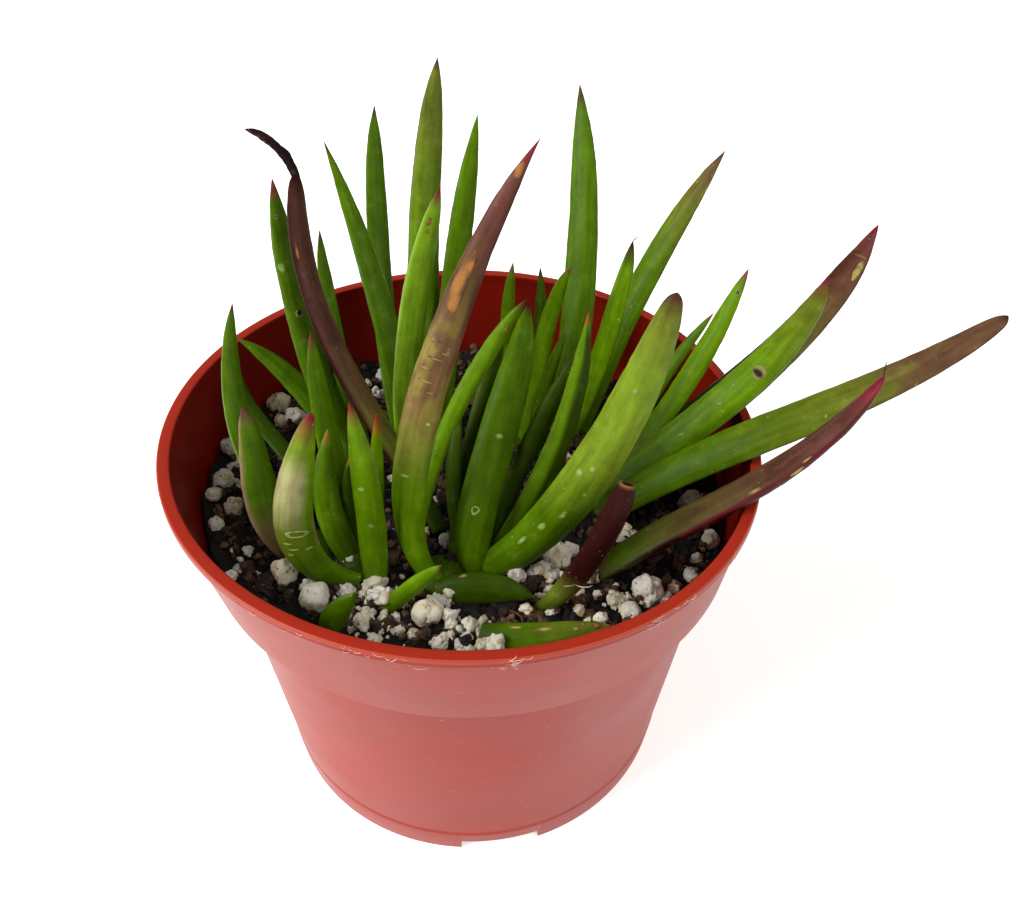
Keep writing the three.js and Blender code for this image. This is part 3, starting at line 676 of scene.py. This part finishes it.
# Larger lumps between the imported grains: x, y and radius
LUMPS = np.array([
    (-16.2, -26.0, 2.6), (-14.6, -30.0, 2.1), (-20, -22, 1.5), (-12.2, -29, 1.2), (-20, -28, 1.4),
    (6.1, -24.7, 1.7), (11.5, -31.5, 1.2), (2.5, -39.5, 2.0), (32.2, -25.6, 1.5), (-26, -27, 1.4),
    (-41, 10, 1.7), (-40, -3, 1.6), (22, -29, 1.4), (-7, -41, 1.5), (-15, -37.5, 1.4)])
FROM_WALL = 2.2


def drifted(which, seed):
    """Places round the middle of each drift by a normal law, and a few anywhere, all kept off the wall."""
    draw = np.random.default_rng(seed)
    spots = np.concatenate([draw.normal(row[:2], row[2] / 1.6, (row[which], 2)) for row in DRIFTS])
    spots = np.concatenate([spots, scattered(24, seed + 1)[:, :2]])
    return spots[np.hypot(*spots.T) < soil_reach(np.arctan2(spots[:, 1], spots[:, 0])) - FROM_WALL]


def lay_perlite(name, spots, sizes, seed, rings, sides):
    """Lumps of perlite laid on the soil at these spots, each sunk a little."""
    places = squeezed(np.column_stack([spots, lumpy_top(*spots.T) + 0.35 * sizes]))
    made = lumps(name, places, sizes, (1, 0.92, 0.8), seed, rings, sides, 0.36, True)
    add_to_plant(made, "perlite", chalk)


lay_perlite("perlite_lumps", LUMPS[:, :2], LUMPS[:, 2], 44, 26, 38)
for name, which, least, most, seed, form in (("perlite_broken", 3, 0.6, 1.7, 34, (16, 24)),
                                             ("perlite_crumbs", 4, 0.25, 0.8, 31, (6, 9))):
    spots = drifted(which, seed)
    sizes = np.random.default_rng(seed + 2).uniform(least, most, len(spots))
    lay_perlite(name, spots, sizes, seed + 3, *form)

# %% [markdown]
# The leaves are the plant. Each is a fleshy blade: nearly flat above, round below, widest before the middle,
# and drawn out to a point. The imported model gives every leaf a path, a width, a turn about its own length
# and a taper, and the same values are repeated here with finer rings. Colour is a matter of sun and age:
# green in the middle of the clump, olive and purple-brown where leaves stick out, and crimson at the tip. So
# each leaf has tones at shares of its length, and other tones where a side or its margins differ. On a few
# leaves a side's tone is painted shade, darker on the side away from the light, with painted light opposite.

# %% Tones
TONES = {name: np.array(linear(colour)[:3]) for name, colour in {
    "deep": "#304402", "leaf": "#466401", "fresh": "#577902", "bright": "#759b1a", "lime": "#697f1b",
    "pale": "#7f9150", "olive": "#5c651a", "bronze": "#5d4a28", "mauve": "#5a352e", "brown": "#46281c",
    "maroon": "#2c0d0b", "crimson": "#6e1a28", "red": "#961c20", "cream": "#938f60", "blush": "#8a6654",
    "tan": "#7b6b33", "cork": "#94662f", "black": "#221013",
}.items()}

# %% Leaf surface
CLUMP_AXIS = np.array([0, -2, 0])
FACE_LIFT, UPPER_BULGE, LOWER_BULGE, MARGIN_POWER = 0.5, 0.19, 0.32, 1.2
FOOT_WIDTH, WIDEST_AT, ROUNDING, CUT_DEPTH, CUT_NARROWS, CUT_LENGTH = 0.74, 0.45, 0.012, 1.5, 0.48, 0.07
UNEVEN_MM, FOLD_MM, WRINKLE_MM = 0.045, 0.1, 0.14
LEAF_RINGS, LEAF_SIDES = 104, 36
STEM_RINGS, STEM_SIDES = 12, 24
STEM_RADIUS, STEM_HALF_HEIGHT, STEM_SUNK = 4.2, 4, 1.2


def along_path(path, share):
    """Places and directions at shares of the path's length, and that length in millimetres."""
    t = np.linspace(0, 1, 1200)
    step = np.linalg.norm(np.diff(bezier(path, t[:, None]), axis=0), axis=1)
    run = np.concatenate([[0], np.cumsum(step)])
    at = np.interp(share * run[-1], run, t)[:, None]
    return bezier(path, at), unit(bezier(np.diff(path, axis=0), at)), run[-1]


def width_at(share, row):
    """Share of the greatest width. It swells from the foot and falls to the tip as 1 - exp((s - 1) / taper).

    A blunt tip keeps part of its width until close to the end, and a cut end narrows a little.
    """
    swell = np.minimum(share / WIDEST_AT, 1)
    foot = FOOT_WIDTH + (1 - FOOT_WIDTH) * swell * (2 - swell)
    if not row["taper"]:
        return foot * (1 - CUT_NARROWS * np.exp((share - 1) / CUT_LENGTH))
    sharp, blunt = np.exp((share - 1) / row["taper"]), np.exp((share - 1) / ROUNDING)
    return foot * (1 - ((1 - row["blunt"]) * sharp + row["blunt"] * blunt))


def leaf_points(row, seed, share, angle):
    """Points of the skin at shares of the length and angles of the lens-shaped section, and what lies there.

    Also gives the outward direction, the direction of growth, and flat places (across, up, along) in mm.
    """
    centre, along, length = along_path(row["path"], share)
    middle = along_path(row["path"], np.array([0.5]))[0][0]
    face = (CLUMP_AXIS - middle) * (1, 1, 0)
    face = face / np.linalg.norm(face) + (0, 0, FACE_LIFT)
    up = unit(face - (along @ face)[:, None] * along)
    up = up * math.cos(row["turn"]) + np.cross(along, up) * math.sin(row["turn"])
    across = np.cross(up, along)

    cosine, sine = np.cos(angle), np.sin(angle)
    full = row["width"] * width_at(share, row)
    keel = row.get("keel", 0.0)
    height = (1 - keel) * np.abs(sine) ** MARGIN_POWER + keel * (1 - np.abs(cosine))
    bulge = np.where(sine > 0, UPPER_BULGE, LOWER_BULGE) * full
    height = height * np.sign(sine) * bulge
    breadth = cosine * full / 2
    shift = np.array([seed * 17.0, 0, 0])
    flat = np.stack([breadth, height, share * length], -1) + shift
    wave = 1 + 0.03 * noise(flat * (0, 0, 1) + shift, 7, seed)
    uneven = UNEVEN_MM * noise(flat, 1.4, seed + 1) + FOLD_MM * noise(flat * (1, 1, 0.14), 1.5, seed + 2)
    uneven = uneven + WRINKLE_MM * row.get("dry", 0) * popped(flat * (1, 1, 0.5), 1.1, 2, seed + 3)
    uneven = uneven * np.minimum(1, full / 2)
    breadth = (breadth + cosine * uneven) * wave
    height = (height + sine * uneven) * wave
    points = centre + breadth[:, None] * across + height[:, None] * up
    outward = cosine[:, None] * across * bulge[:, None] + sine[:, None] * up * full[:, None] / 2
    return points, outward / (np.linalg.norm(outward, axis=1, keepdims=True) + 1e-9), along, flat


# %% Leaf paint
WANDER, SOFT_EDGE, MARGIN_SHARPNESS, MARGIN_STRENGTH, BLOTCH_STRENGTH = 0.025, 0.5, 40, 0.8, 0.65


def leaf_paint(row, seed, share, angle, flat):
    """The skin's colour at each point: tones along it with wavy borders, the other side, then the margins.

    Tones blend in linear light. The other side's tone stops short of the tip, and blotches follow noise.
    """
    wander = noise(flat, 3.5, seed + 4)
    places, tones = zip(*row["tones"])
    at, colours = share + WANDER * wander * (share < 0.97), np.array([TONES[tone] for tone in tones])
    paint = np.stack([np.interp(at, places, channel) for channel in colours.T], -1)
    over = []
    # A side's own tone; on some leaves it is painted shade on the side away from the light
    if "other" in row:
        tone, turned, edge, start = row["other"]
        side = np.cos(angle - math.radians(turned)) - edge + 0.09 * wander
        before_tip = np.interp(share, [0.9, 0.96], [1, 0])
        amount = np.clip(side / SOFT_EDGE + 0.5, 0, 1) * before_tip
        over.append((tone, amount * np.interp(share, [start, start + 0.2], [0, 1])))
    if "margin" in row:
        tone, start, end = row["margin"]
        amount = np.abs(np.cos(angle)) ** MARGIN_SHARPNESS * ((share >= start) & (share <= end))
        over.append((tone, amount * MARGIN_STRENGTH))
    if "blotch" in row:
        tone, start, end = row["blotch"]
        patches = rough(flat * (1, 1, 0.6), 2.6, 3, seed + 5) + 0.1
        strength = np.multiply([0, 1, 1, 0], BLOTCH_STRENGTH)
        amount = np.interp(share, [start - 0.1, start, end, end + 0.1], strength)
        over.append((tone, np.clip(patches * 4, 0, 1) * amount))
    for tone, amount in over:
        paint += (TONES[tone] - paint) * amount[:, None]
    return np.hstack([paint, np.ones((len(paint), 1))])


def leaf_surface(row, seed):
    """Rings of the skin from foot to tip, closer near the tip, with their paint. A cut end is hollow."""
    share = np.linspace(0, 1, LEAF_RINGS + 1)[:-1]
    share = 1 - (1 - share) ** 1.25 if row["taper"] else np.linspace(0, 1, LEAF_RINGS)
    share, angle = (grid.ravel() for grid in np.meshgrid(share, even_angles(LEAF_SIDES), indexing="ij"))
    points, _, along, flat = leaf_points(row, seed, share, angle)
    paint = leaf_paint(row, seed, share, angle, flat)
    tip = row["path"][-1]
    if not row["taper"]:
        points[-LEAF_SIDES:] = tip + (points[-LEAF_SIDES:] - tip) * 0.7 - along[-1] * 0.3
        paint[-LEAF_SIDES:] = [*TONES["black"], 1]
        tip = tip - along[-1] * CUT_DEPTH
    points = np.concatenate([points, [row["path"][0], tip]])
    return points, {"skin": np.vstack([flat, flat[[0, -1]]]), "paint": np.vstack([paint, paint[[0, -1]]])}


def stem_surface(place):
    """A short stem: a rounded stub, most of it below the soil."""
    middle = np.array([*place, soil_height(*place) - STEM_SUNK])
    points = middle + ball_points(STEM_RINGS, STEM_SIDES) * (STEM_RADIUS, STEM_RADIUS, STEM_HALF_HEIGHT)
    return points, {"skin": points, "paint": np.tile([*TONES["deep"], 1.0], (len(points), 1))}


# %% [markdown]
# Leaf skin is a waxy cuticle over wet flesh. The wax gives a soft broad sheen, so the roughness is near 0.4.
# The painted tones carry most of the colour. Over them come long faint streaks, a slight mottle, a dusting
# of bloom and pale specks, all in the leaf's own flat coordinates, so that they run along it however it
# bends.

# %% Leaf material
skin_material, tree, shader = new_material("succulent leaf, waxy skin")
skin = add(tree, "Attribute", {}, "Vector", attribute_name="skin")
paint = add(tree, "Attribute", {}, "Color", attribute_name="paint")
stretched = add(tree, "Mapping", {"Vector": skin, "Scale": (1, 1, 0.1)})
mottle = add(tree, "TexNoise", {"Vector": skin, "Scale": 1 / 2.6, "Detail": 4, "Roughness": 0.6})
streaks, fine, specks = (
    add(tree, "TexNoise", {"Vector": where, "Scale": 1 / size, "Detail": detail})
    for where, size, detail in ((stretched, 0.9, 3), (skin, 0.4, 2), (skin, 0.75, 1)))
shade = add(tree, "MapRange", {0: streaks, 1: 0.3, 2: 0.7, 3: 0.78, 4: 1.22})
cloudy = add(tree, "MapRange", {0: mottle, 1: 0.3, 2: 0.7, 3: 0.82, 4: 1.16})
shade = add(tree, "Math", {0: shade, 1: cloudy}, operation="MULTIPLY")
shaded = add(tree, "VectorMath", {0: paint, "Scale": shade}, operation="SCALE")
colour = layered(tree, shaded, [(mottle, 0.6, 0.78, 0.1, "#a3b46a"), (specks, 0.75, 0.8, 0.35, "#a9b886")])
gloss = add(tree, "MapRange", {0: fine, 1: 0.3, 2: 0.7, 3: 0.36, 4: 0.46})
bumps = add(tree, "Bump", {"Height": fine, "Strength": 0.22, "Distance": 0.0002})
connect(tree, shader, {"Base Color": colour, "Roughness": gloss, "Normal": bumps, "Specular IOR Level": 0.07})


# %% Plant the leaves
def leaf(path, width, turn, taper=0.14, blunt=0.0, tones="leaf", tip="crimson", tip_from=0.93, **look):
    """One leaf: path in millimetres, greatest width, turn in degrees, taper and bluntness, and how it looks.

    Tones are (share of the length, tone) pairs, or one tone. The tip's tone comes in from `tip_from`. A
    side's second tone is given by the way it faces in degrees, how narrow it is as a cosine, and where it
    starts; on some leaves it is painted shade. `margin` and `blotch` are a tone and where it starts and
    ends. `keel` gives the section a ridge, `dry` wrinkles it.
    """
    stops = [(0, tones)] if isinstance(tones, str) else tones
    stops = [*stops, (tip_from, stops[-1][1]), (0.2 * tip_from + 0.8, tip), (1, tip)]
    return {"path": np.array(path, float), "width": width, "turn": math.radians(turn), "taper": taper,
            "blunt": blunt, "tones": stops, **look}


planted = {}


def plant(node, stems, leaves, slot="green_leaf"):
    """Joins a node's stems and leaves, each a closed surface, into one piece that stands for it."""
    seed = 101 + 10 * len(planted)
    planted[node] = [(row, seed + number) for number, row in enumerate(leaves)]
    surfaces = [stem_surface(place) for place in stems] + [leaf_surface(*pair) for pair in planted[node]]
    points = np.concatenate([points for points, _ in surfaces])
    values = {key: np.concatenate([kept[key] for _, kept in surfaces]) for key in ("skin", "paint")}
    faces = same_faces(len(stems), STEM_RINGS, STEM_SIDES)
    faces += same_faces(len(leaves), LEAF_RINGS, LEAF_SIDES, len(stems) * (STEM_RINGS * STEM_SIDES + 2))
    name = node + ("_leaves" if stems else "_blade")
    add_to_plant(make_object(name, points, faces, values), slot, skin_material, node)


plant("rosette_front_left", [(-18, -22)], [
    leaf([[-19, -25, 62], [-30, -27, 68], [-27, -26, 80], [-22, -23, 94]], 6.6, 45, 0.26, 0.12,
         [(0.28, "leaf"), (0.46, "olive"), (0.6, "cream"), (0.74, "cream"), (0.84, "lime")], tip_from=0.87,
         other=("fresh", 14, 0.35, 0.3), margin=("blush", 0.35, 0.9)),
    leaf([[-16, -25, 62], [-15, -24, 78], [-17, -22, 95]], 4.8, 30, 0.22, tones="fresh", tip_from=0.88,
         margin=("blush", 0.6, 1)),
    leaf([[-19, -22, 62], [-25, -19, 72], [-22, -14, 84]], 5, 60, 0.25, tip="cork", tip_from=0.9),
    leaf([[-19, -21, 62], [-21, -18, 71], [-19, -16, 80]], 2.7, 50, 0.25, 0, "deep", "cork", 0.88),
    leaf([[-18, -21, 62], [-23, -14, 79], [-24, -6, 96]], 4.5, -60, 0.16),
    leaf([[-16, -20, 62], [-15, -18, 75], [-14, -18, 90]], 2.2, 30, 0.14, 0, "fresh", "red", 0.82),
])
plant("rosette_left", [(-26, -18)], [
    leaf([[-26, -17, 62], [-42, -7, 72], [-39, 10, 91]], 4.6, -40, 0.2, margin=("pale", 0.2, 1)),
    leaf([[-27, -20, 62], [-36, -18, 67], [-33, -12, 76], [-36, -7, 83]], 5.6, -60, 0.16, 0,
         [(0, "brown"), (0.25, "bronze"), (0.45, "leaf")], "mauve", 0.88, other=("blush", -17, 0.75, 0.1)),
    leaf([[-24, -15, 62], [-29, 3, 66], [-42, 3, 72], [-42, 16, 77]], 3.2, -40, tones="deep"),
])
plant("rosette_mid_left", [(-19, -1)], [
    leaf([[-19, -3, 61], [-29, 6, 82], [-33, 26, 105]], 5.2, -25),
    leaf([[-18, 0, 61], [-24, 8, 79], [-25, 18, 100]], 3.4, -25, tip="bronze"),
    leaf([[-21, 2, 61], [-30, 16, 72], [-42, 18, 79]], 5, -25, 0.24, tip="bronze", tip_from=0.95),
])
plant("rosette_back_left", [(-13, 8)], [
    leaf([[-12, 9, 60], [-14, 18, 78], [-19, 30, 90], [-27, 45, 104]], 5.5, 0, 0.28, tip="brown"),
    leaf([[-14, 12, 60], [-19, 36, 86], [-18, 52, 108]], 4.4, 0, 0.12, tip="brown", tip_from=0.94),
    # Painted light and shade: bright green on the side the light falls on, darker green on the other side
    leaf([[-12, 4, 61], [-13, 9, 85], [-5, 15, 109]], 5.7, 0, tones=[(0, "leaf"), (0.3, "bright")],
         tip_from=0.92, other=("leaf", 144, 0.85, 0), margin=("pale", 0.2, 0.95)),
])
plant("rosette_back", [(-7, 14)], [
    leaf([[-9, 13, 60], [-11, 32, 87], [-6, 51, 117]], 5.9, 0, 0.12, 0,
         [(0, "leaf"), (0.5, "fresh"), (0.85, "olive")], "brown", 0.95, margin=("brown", 0.1, 1)),
    leaf([[-7, 16, 60], [-4, 27, 86], [1, 38, 112]], 5, 0, 0.18, tip="fresh"),
    leaf([[-7, 13, 60], [-7, 25, 77], [-2, 37, 95]], 2.8, 0),
])
plant("rosette_back_middle", [(9, 15)], [
    leaf([[9, 12, 59], [13, 20, 86], [16, 12, 97]], 3.7, 0),
    leaf([[11, 12, 59], [10, 6, 72], [15, 4, 90]], 3.3, 0, 0.16, tones="deep", tip="brown"),
    leaf([[6, 17, 59], [5, 21, 76], [7, 23, 92]], 2.8, 0, tip="bronze"),
    leaf([[10, 18, 58], [13, 20, 72], [12, 25, 90]], 2.8, 0, tones="deep", tip="maroon"),
])
plant("rosette_back_right", [(18, 17)], [
    leaf([[17, 19, 58], [23, 35, 85], [20, 52, 113]], 6.7, 0, 0.18, tip="brown"),
    leaf([[18, 15, 58], [25, 17, 79], [27, 18, 99]], 4.6, 0, 0.12, 0, [(0, "leaf"), (0.6, "fresh")],
         "maroon", 0.89),
    leaf([[20, 16, 58], [29, 28, 85], [45, 35, 108]], 5.9, 0, 0.16, 0,
         [(0.6, "leaf"), (0.78, "olive"), (0.9, "bronze")], "brown", 0.95, keel=0.5,
         margin=("brown", 0.35, 1)),
])
plant("rosette_right", [(22, -4)], [
    leaf([[23, -1, 59], [36, 1, 77], [45, 9, 99]], 4.4, 30,
         tones=[(0, "deep"), (0.4, "leaf"), (0.7, "fresh")]),
    leaf([[24, 0, 58], [31, 9, 75], [41, 10, 90]], 2.8, 30),
    leaf([[21, -5, 59], [36, -1, 73], [50, -8, 92], [62, 16, 94]], 6.2, 45, 0.16, 0,
         [(0, "deep"), (0.3, "leaf"), (0.6, "fresh"), (0.84, "olive")], tip_from=0.84,
         margin=("pale", 0.3, 0.9)),
    leaf([[22, -2, 59], [39, -6, 82], [62, 15, 80], [75, 30, 97]], 7.1, 40, 0.12, 0,
         [(0, "deep"), (0.5, "olive"), (0.72, "bronze"), (0.86, "mauve")],
         other=("brown", 19, 0.45, 0.3), blotch=("mauve", 0.7, 0.9)),
    leaf([[22, -7, 59], [41, -12, 82], [62, -11, 84.6], [87, 0, 96]], 6.6, 35, 0.12, 0.3,
         [(0, "deep"), (0.3, "leaf"), (0.6, "olive"), (0.85, "bronze")], "maroon", 0.97,
         margin=("brown", 0.4, 1), blotch=("mauve", 0.75, 0.97)),
])
plant("rosettes_middle", [(-6, -24), (1, -20)], [
    # The brown side tone on the upper part is painted shade on the side away from the light
    leaf([[-6, -25, 62], [-19, -24, 75], [2, -4, 114], [8.7, -8, 126]], 6.7, 0, 0.32, 0,
         [(0, "leaf"), (0.25, "fresh"), (0.42, "tan"), (0.54, "tan"), (0.68, "bronze"), (0.8, "mauve")],
         tip_from=0.9, other=("brown", 8, 0.6, 0.45), blotch=("mauve", 0.46, 0.75)),
    leaf([[-9, -21, 62], [-11, -10, 72], [2, -4, 92], [8, -3, 100]], 3, 0, 0.1, 0,
         [(0, "leaf"), (0.5, "fresh")], "brown"),
    leaf([[-6, -28, 62], [3, -28, 65], [9, -30, 63]], 5.6, -60, 0.24, 0, "deep", "cork", 0.97),
    leaf([[-1, -22, 61], [-1, -21, 76], [7, -1, 81], [8, -6, 101]], 6.8, -40, 0.2, 0, "leaf", "maroon", 0.95),
    leaf([[-3, -19, 61], [-1, -8, 75], [5, 4, 92]], 4.8, 0, 0.2, tones="deep"),
    leaf([[-2, -20, 61], [-5, -13, 74], [-2, -7, 84]], 3.5, 0, 0.24, tones="deep"),
    # The deep green side tone is painted shade on the side away from the light
    leaf([[3, -18, 60], [16, -13, 79], [17, -6, 100]], 4.4, -60, 0.2, 0, [(0, "leaf"), (0.8, "fresh")],
         "red", 0.95, keel=0.5, other=("deep", -12, 0.1, 0)),
    leaf([[2, -17, 61], [8, -10, 77], [16, -5, 92]], 3.5, -60, tones="deep"),
    leaf([[2, -22, 61], [15, -24, 74], [22, -24, 94], [25, -25, 114]], 7.7, -55, 0.22, 0.28,
         [(0.3, "leaf"), (0.5, "lime"), (0.8, "lime"), (0.92, "olive")], "brown", 0.95),
])

# %% Plant the single leaves
plant("leaf_low_right", [], [
    leaf([[20, -22, 60], [32, -24, 76], [51, -20, 78], [60, -17, 96]], 7.2, 15, 0.2, 0.2,
         [(0, "maroon"), (0.12, "deep"), (0.4, "bronze"), (0.65, "mauve")], tip_from=0.84,
         other=("maroon", 238, 0.2, 0), margin=("crimson", 0.3, 1), blotch=("brown", 0.4, 0.85)),
], "purple_leaf")
plant("leaf_bent_back", [], [
    leaf([[-6, -13, 61], [-17, 3.5, 76], [-28.5, 3, 89], [-28, 21, 108]], 4.5, -20, 0.1, 0.5,
         [(0, "deep"), (0.25, "olive"), (0.4, "bronze"), (0.6, "mauve"), (0.9, "brown")], "maroon",
         other=("maroon", -36, 0.35, 0), blotch=("brown", 0.5, 0.95)),
    leaf([[-28, 20.7, 106.8], [-28.6, 22, 110], [-32, 25.5, 112.5], [-36.2, 26.4, 112.7]], 1.8, 0,
         tones="black", tip="black", dry=1.0),
], "purple_leaf")
plant("leaf_cut_off", [], [
    leaf([[10, -30, 60], [17, -33, 71], [21, -31, 88]], 3.9, -50, 0, 0,
         [(0, "deep"), (0.2, "olive"), (0.38, "maroon")], "cork", 0.975),
], "purple_leaf")
plant("leaf_at_front_rim", [], [
    leaf([[0.5, -36.5, 61.5], [9, -39.5, 61.5], [20, -37, 64.5]], 7, -60, 0.24, 0,
         [(0, "deep"), (0.3, "leaf"), (0.8, "olive")], "cork"),
])
plant("shoot_front", [], [
    leaf([[-14, -31, 62], [-9, -31, 68], [-5, -32, 73]], 3.1, -20, 0.22, 0, [(0, "leaf"), (0.5, "fresh")],
         "mauve"),
])
plant("bud_front_left", [], [
    leaf([[-22, -36, 63], [-21, -36, 67], [-17, -36, 72]], 4, 0, 0.24, tip="brown", margin=("mauve", 0.4, 1)),
])

# %% [markdown]
# Old hurts heal as corky scars: raised brown spots, craters with a dark middle, and pale rings where
# something pressed on the young skin. They are laid on the leaves as real relief. A spot is a low disc whose
# rim sinks into the skin, and a ring's middle sinks too. Each follows the leaf's own surface.

# %% Scars
# Node and leaf: for each scar its share of the length, angle of the section, length and width in mm, and kind
SCARS = {
    ("rosette_front_left", 0): [
        (0.45, -75, 1.5, 3.0, "ring"), (0.36, -50, 0.6, 1.4, "pale"), (0.4, -105, 0.4, 1.4, "pale"),
        (0.37, -95, 0.4, 1.4, "pale"), (0.34, -110, 0.4, 1.2, "pale")],
    ("rosette_front_left", 1): [(0.58, -100, 0.8, 0.9, "pale"), (0.38, -80, 0.8, 0.9, "pale")],
    ("rosette_mid_left", 0): [
        (0.59, 80, 1.3, 1.2, "crater"), (0.88, 62, 0.8, 0.7, "crater"), (0.73, 50, 2.0, 1.3, "pale")],
    ("rosette_back_left", 2): [(0.89, 64, 1.5, 0.7, "cork"), (0.86, 66, 0.8, 0.6, "cork")],
    ("rosette_right", 0): [(0.91, 115, 1.2, 0.8, "crater")],
    ("rosette_right", 2): [(0.6, 104, 2.4, 2.2, "crater")],
    ("rosette_right", 3): [(0.86, 130, 5.0, 1.9, "tan"), (0.9, 100, 1.0, 2.8, "cork")],
    ("rosette_right", 4): [(0.55, 120, 0.9, 0.9, "tan")],
    ("rosettes_middle", 0): [
        (0.69, -108, 8.5, 2.3, "cork"), (0.655, -100, 4.5, 1.6, "cork"), (0.73, -95, 3.5, 0.9, "cork"),
        (0.93, -98, 3.0, 1.1, "cork"), (0.57, -118, 0.5, 2.4, "crease"), (0.535, -85, 0.4, 3.0, "crease"),
        (0.51, -115, 0.5, 2.2, "crease"), (0.55, -60, 0.4, 1.8, "crease"), (0.485, -100, 0.4, 2.6, "crease"),
        (0.465, -70, 0.3, 2.0, "crease"), (0.4, -50, 0.7, 0.7, "pale"), (0.28, -90, 0.5, 2.0, "pale")],
    ("rosettes_middle", 1): [(0.88, -80, 0.8, 0.6, "cork")],
    ("rosettes_middle", 2): [(0.3, -150, 1.6, 0.7, "tan")],
    ("rosettes_middle", 3): [(0.24, -105, 1.6, 1.4, "ring"), (0.5, -95, 1.0, 1.2, "pale")],
    ("rosettes_middle", 8): [
        (0.47, -120, 2.2, 1.0, "pale"), (0.5, -100, 1.4, 0.8, "pale"), (0.26, -110, 1.8, 0.9, "pale"),
        (0.33, -90, 2.0, 0.7, "pale"), (0.18, -120, 2.6, 0.6, "pale"), (0.75, -100, 1.3, 0.8, "pale"),
        (0.42, -80, 1.0, 0.6, "pale")],
    ("leaf_low_right", 0): [
        (0.53, 150, 2.6, 1.1, "tan"), (0.66, 190, 3.0, 1.2, "tan"), (0.7, 160, 2.0, 0.7, "tan")],
    ("leaf_bent_back", 0): [(0.8, 48, 3.0, 0.6, "cork")],
    ("leaf_at_front_rim", 0): [
        (0.28, -150, 2.6, 0.6, "tan"), (0.5, -140, 4.0, 0.6, "tan"), (0.74, -130, 1.0, 0.6, "tan"),
        (0.8, -150, 0.9, 0.7, "cork"), (0.9, -130, 1.6, 0.8, "cork"), (0.6, -95, 0.6, 1.4, "tan")],
}
# Kind: heights in mm at the middle, half way out, near the rim and at it, and colours of middle and rim
SCAR_KINDS = {
    "cork": (0.12, 0.12, 0.06, -0.12, "#95652f", "#553524"),
    "tan": (0.09, 0.08, 0.05, -0.12, "#a08c50", "#66582c"),
    "crater": (0.01, 0.05, 0.1, -0.12, "#1d120b", "#7d7a44"),
    "pale": (0.04, 0.04, 0.03, -0.1, "#8fa35e", "#6b8a2e"),
    "ring": (-0.3, -0.02, 0.06, -0.12, "#7f9a4c", "#8ea45e"),
    "crease": (0.06, 0.05, 0.02, -0.1, "#8d7a4a", "#553226"),
}
# SECTION_RADIUS is the mean radius of a leaf's section as a share of its width
SCAR_RINGS, SCAR_SIDES, SCAR_SINK, SECTION_RADIUS = 9, 22, 0.35, 0.42


def scar_surface(number, node, leaf_number, share, angle, length, width, kind):
    """A low disc on a leaf, whose height runs from its middle to its sunk rim as its kind says."""
    row, seed = planted[node][leaf_number]
    *heights, inner, outer = SCAR_KINDS[kind]
    reach = np.linspace(1.0, 0.12, SCAR_RINGS)[:, None]
    turn = even_angles(SCAR_SIDES)
    circle = round_axis(1, turn, 0) + 5.0 * number
    ragged = 1 + 0.25 * noise(circle, 1, 55) + 0.025 * length * noise(circle, 0.5, 56)
    path_length = along_path(row["path"], np.array([0.5]))[2]
    radius = row["width"] * width_at(np.array([share]), row)[0] * SECTION_RADIUS
    step_along = (length / 2 * reach * np.cos(turn) * ragged).ravel() / path_length
    step_round = (width / 2 * reach * np.sin(turn) * ragged).ravel() / radius
    shares = np.append(np.clip(share + step_along, 0, 0.995), [share, share])
    angles = np.append(math.radians(angle) - step_round, [math.radians(angle)] * 2)
    reach = np.append(np.broadcast_to(reach, (SCAR_RINGS, SCAR_SIDES)).ravel(), [0, 0])
    height = np.interp(reach, [0, 0.5, 0.8, 1], heights)
    points, outward, _, flat = leaf_points(row, seed, shares, angles)
    lumpy = 0.05 * noise(flat, 0.45, seed + 7) * (reach < 0.95)
    height[-2] = -SCAR_SINK
    points = points + outward * (height + lumpy)[:, None]
    mix = np.clip((reach - 0.2) / 0.6 + 0.9 * noise(flat, 0.9, seed + 8), 0, 1)[:, None]
    return points, (1 - mix) * linear(inner) + mix * linear(outer)


rows = [(*leaf_key, *scar) for leaf_key, scars in SCARS.items() for scar in scars]
surfaces = [scar_surface(number, *row) for number, row in enumerate(rows)]
points, paint = (np.concatenate(parts) for parts in zip(*surfaces))
faces = same_faces(len(rows), SCAR_RINGS, SCAR_SIDES)
scars = make_object("corky_scars", points, faces, {"paint": paint})

cork, tree, shader = new_material("corky scar tissue")
place = in_millimetres(tree)
paint = add(tree, "Attribute", {}, "Color", attribute_name="paint")
fine = add(tree, "TexNoise", {"Vector": place, "Scale": 1 / 0.35, "Detail": 3, "Roughness": 0.7})
colour = layered(tree, paint, [(fine, 0.52, 0.7, 0.5, "#5c4426"), (fine, 0.66, 0.8, 0.4, "#d9cfa6")])
bumps = add(tree, "Bump", {"Height": fine, "Strength": 0.4, "Distance": 0.0002})
connect(tree, shader, {"Base Color": colour, "Normal": bumps, "Roughness": 0.8, "Specular IOR Level": 0.2})
add_to_plant(scars, "green_leaf", cork)

# %% Dry hairs and threads
# Hairs at the ends of two leaves, and two threads stuck to the leaf that was cut off
starts = [[27, 18, 98.6], [60, -17, 95.4], [14.5, -33.6, 70], [14.5, -33.6, 70]]
bends = [[27.2, 18.4, 99.2], [59.9, -16.4, 97], [15.6, -35.2, 70.6], [14, -35.4, 71.6]]
ends = [[27.9, 18.2, 99.5], [60.1, -16, 97.9], [17, -34.8, 71], [12.6, -35, 71.2]]
hairs = tubes("dry_hairs", starts, bends, ends, 0.1, np.array([0.1, 0.0, 0.9, 0.8]), 12, 6)
add_to_plant(hairs, "purple_leaf", earth("dry leaf hairs", "#1a0f10", "#b9a58c", 0.8, 0.1))
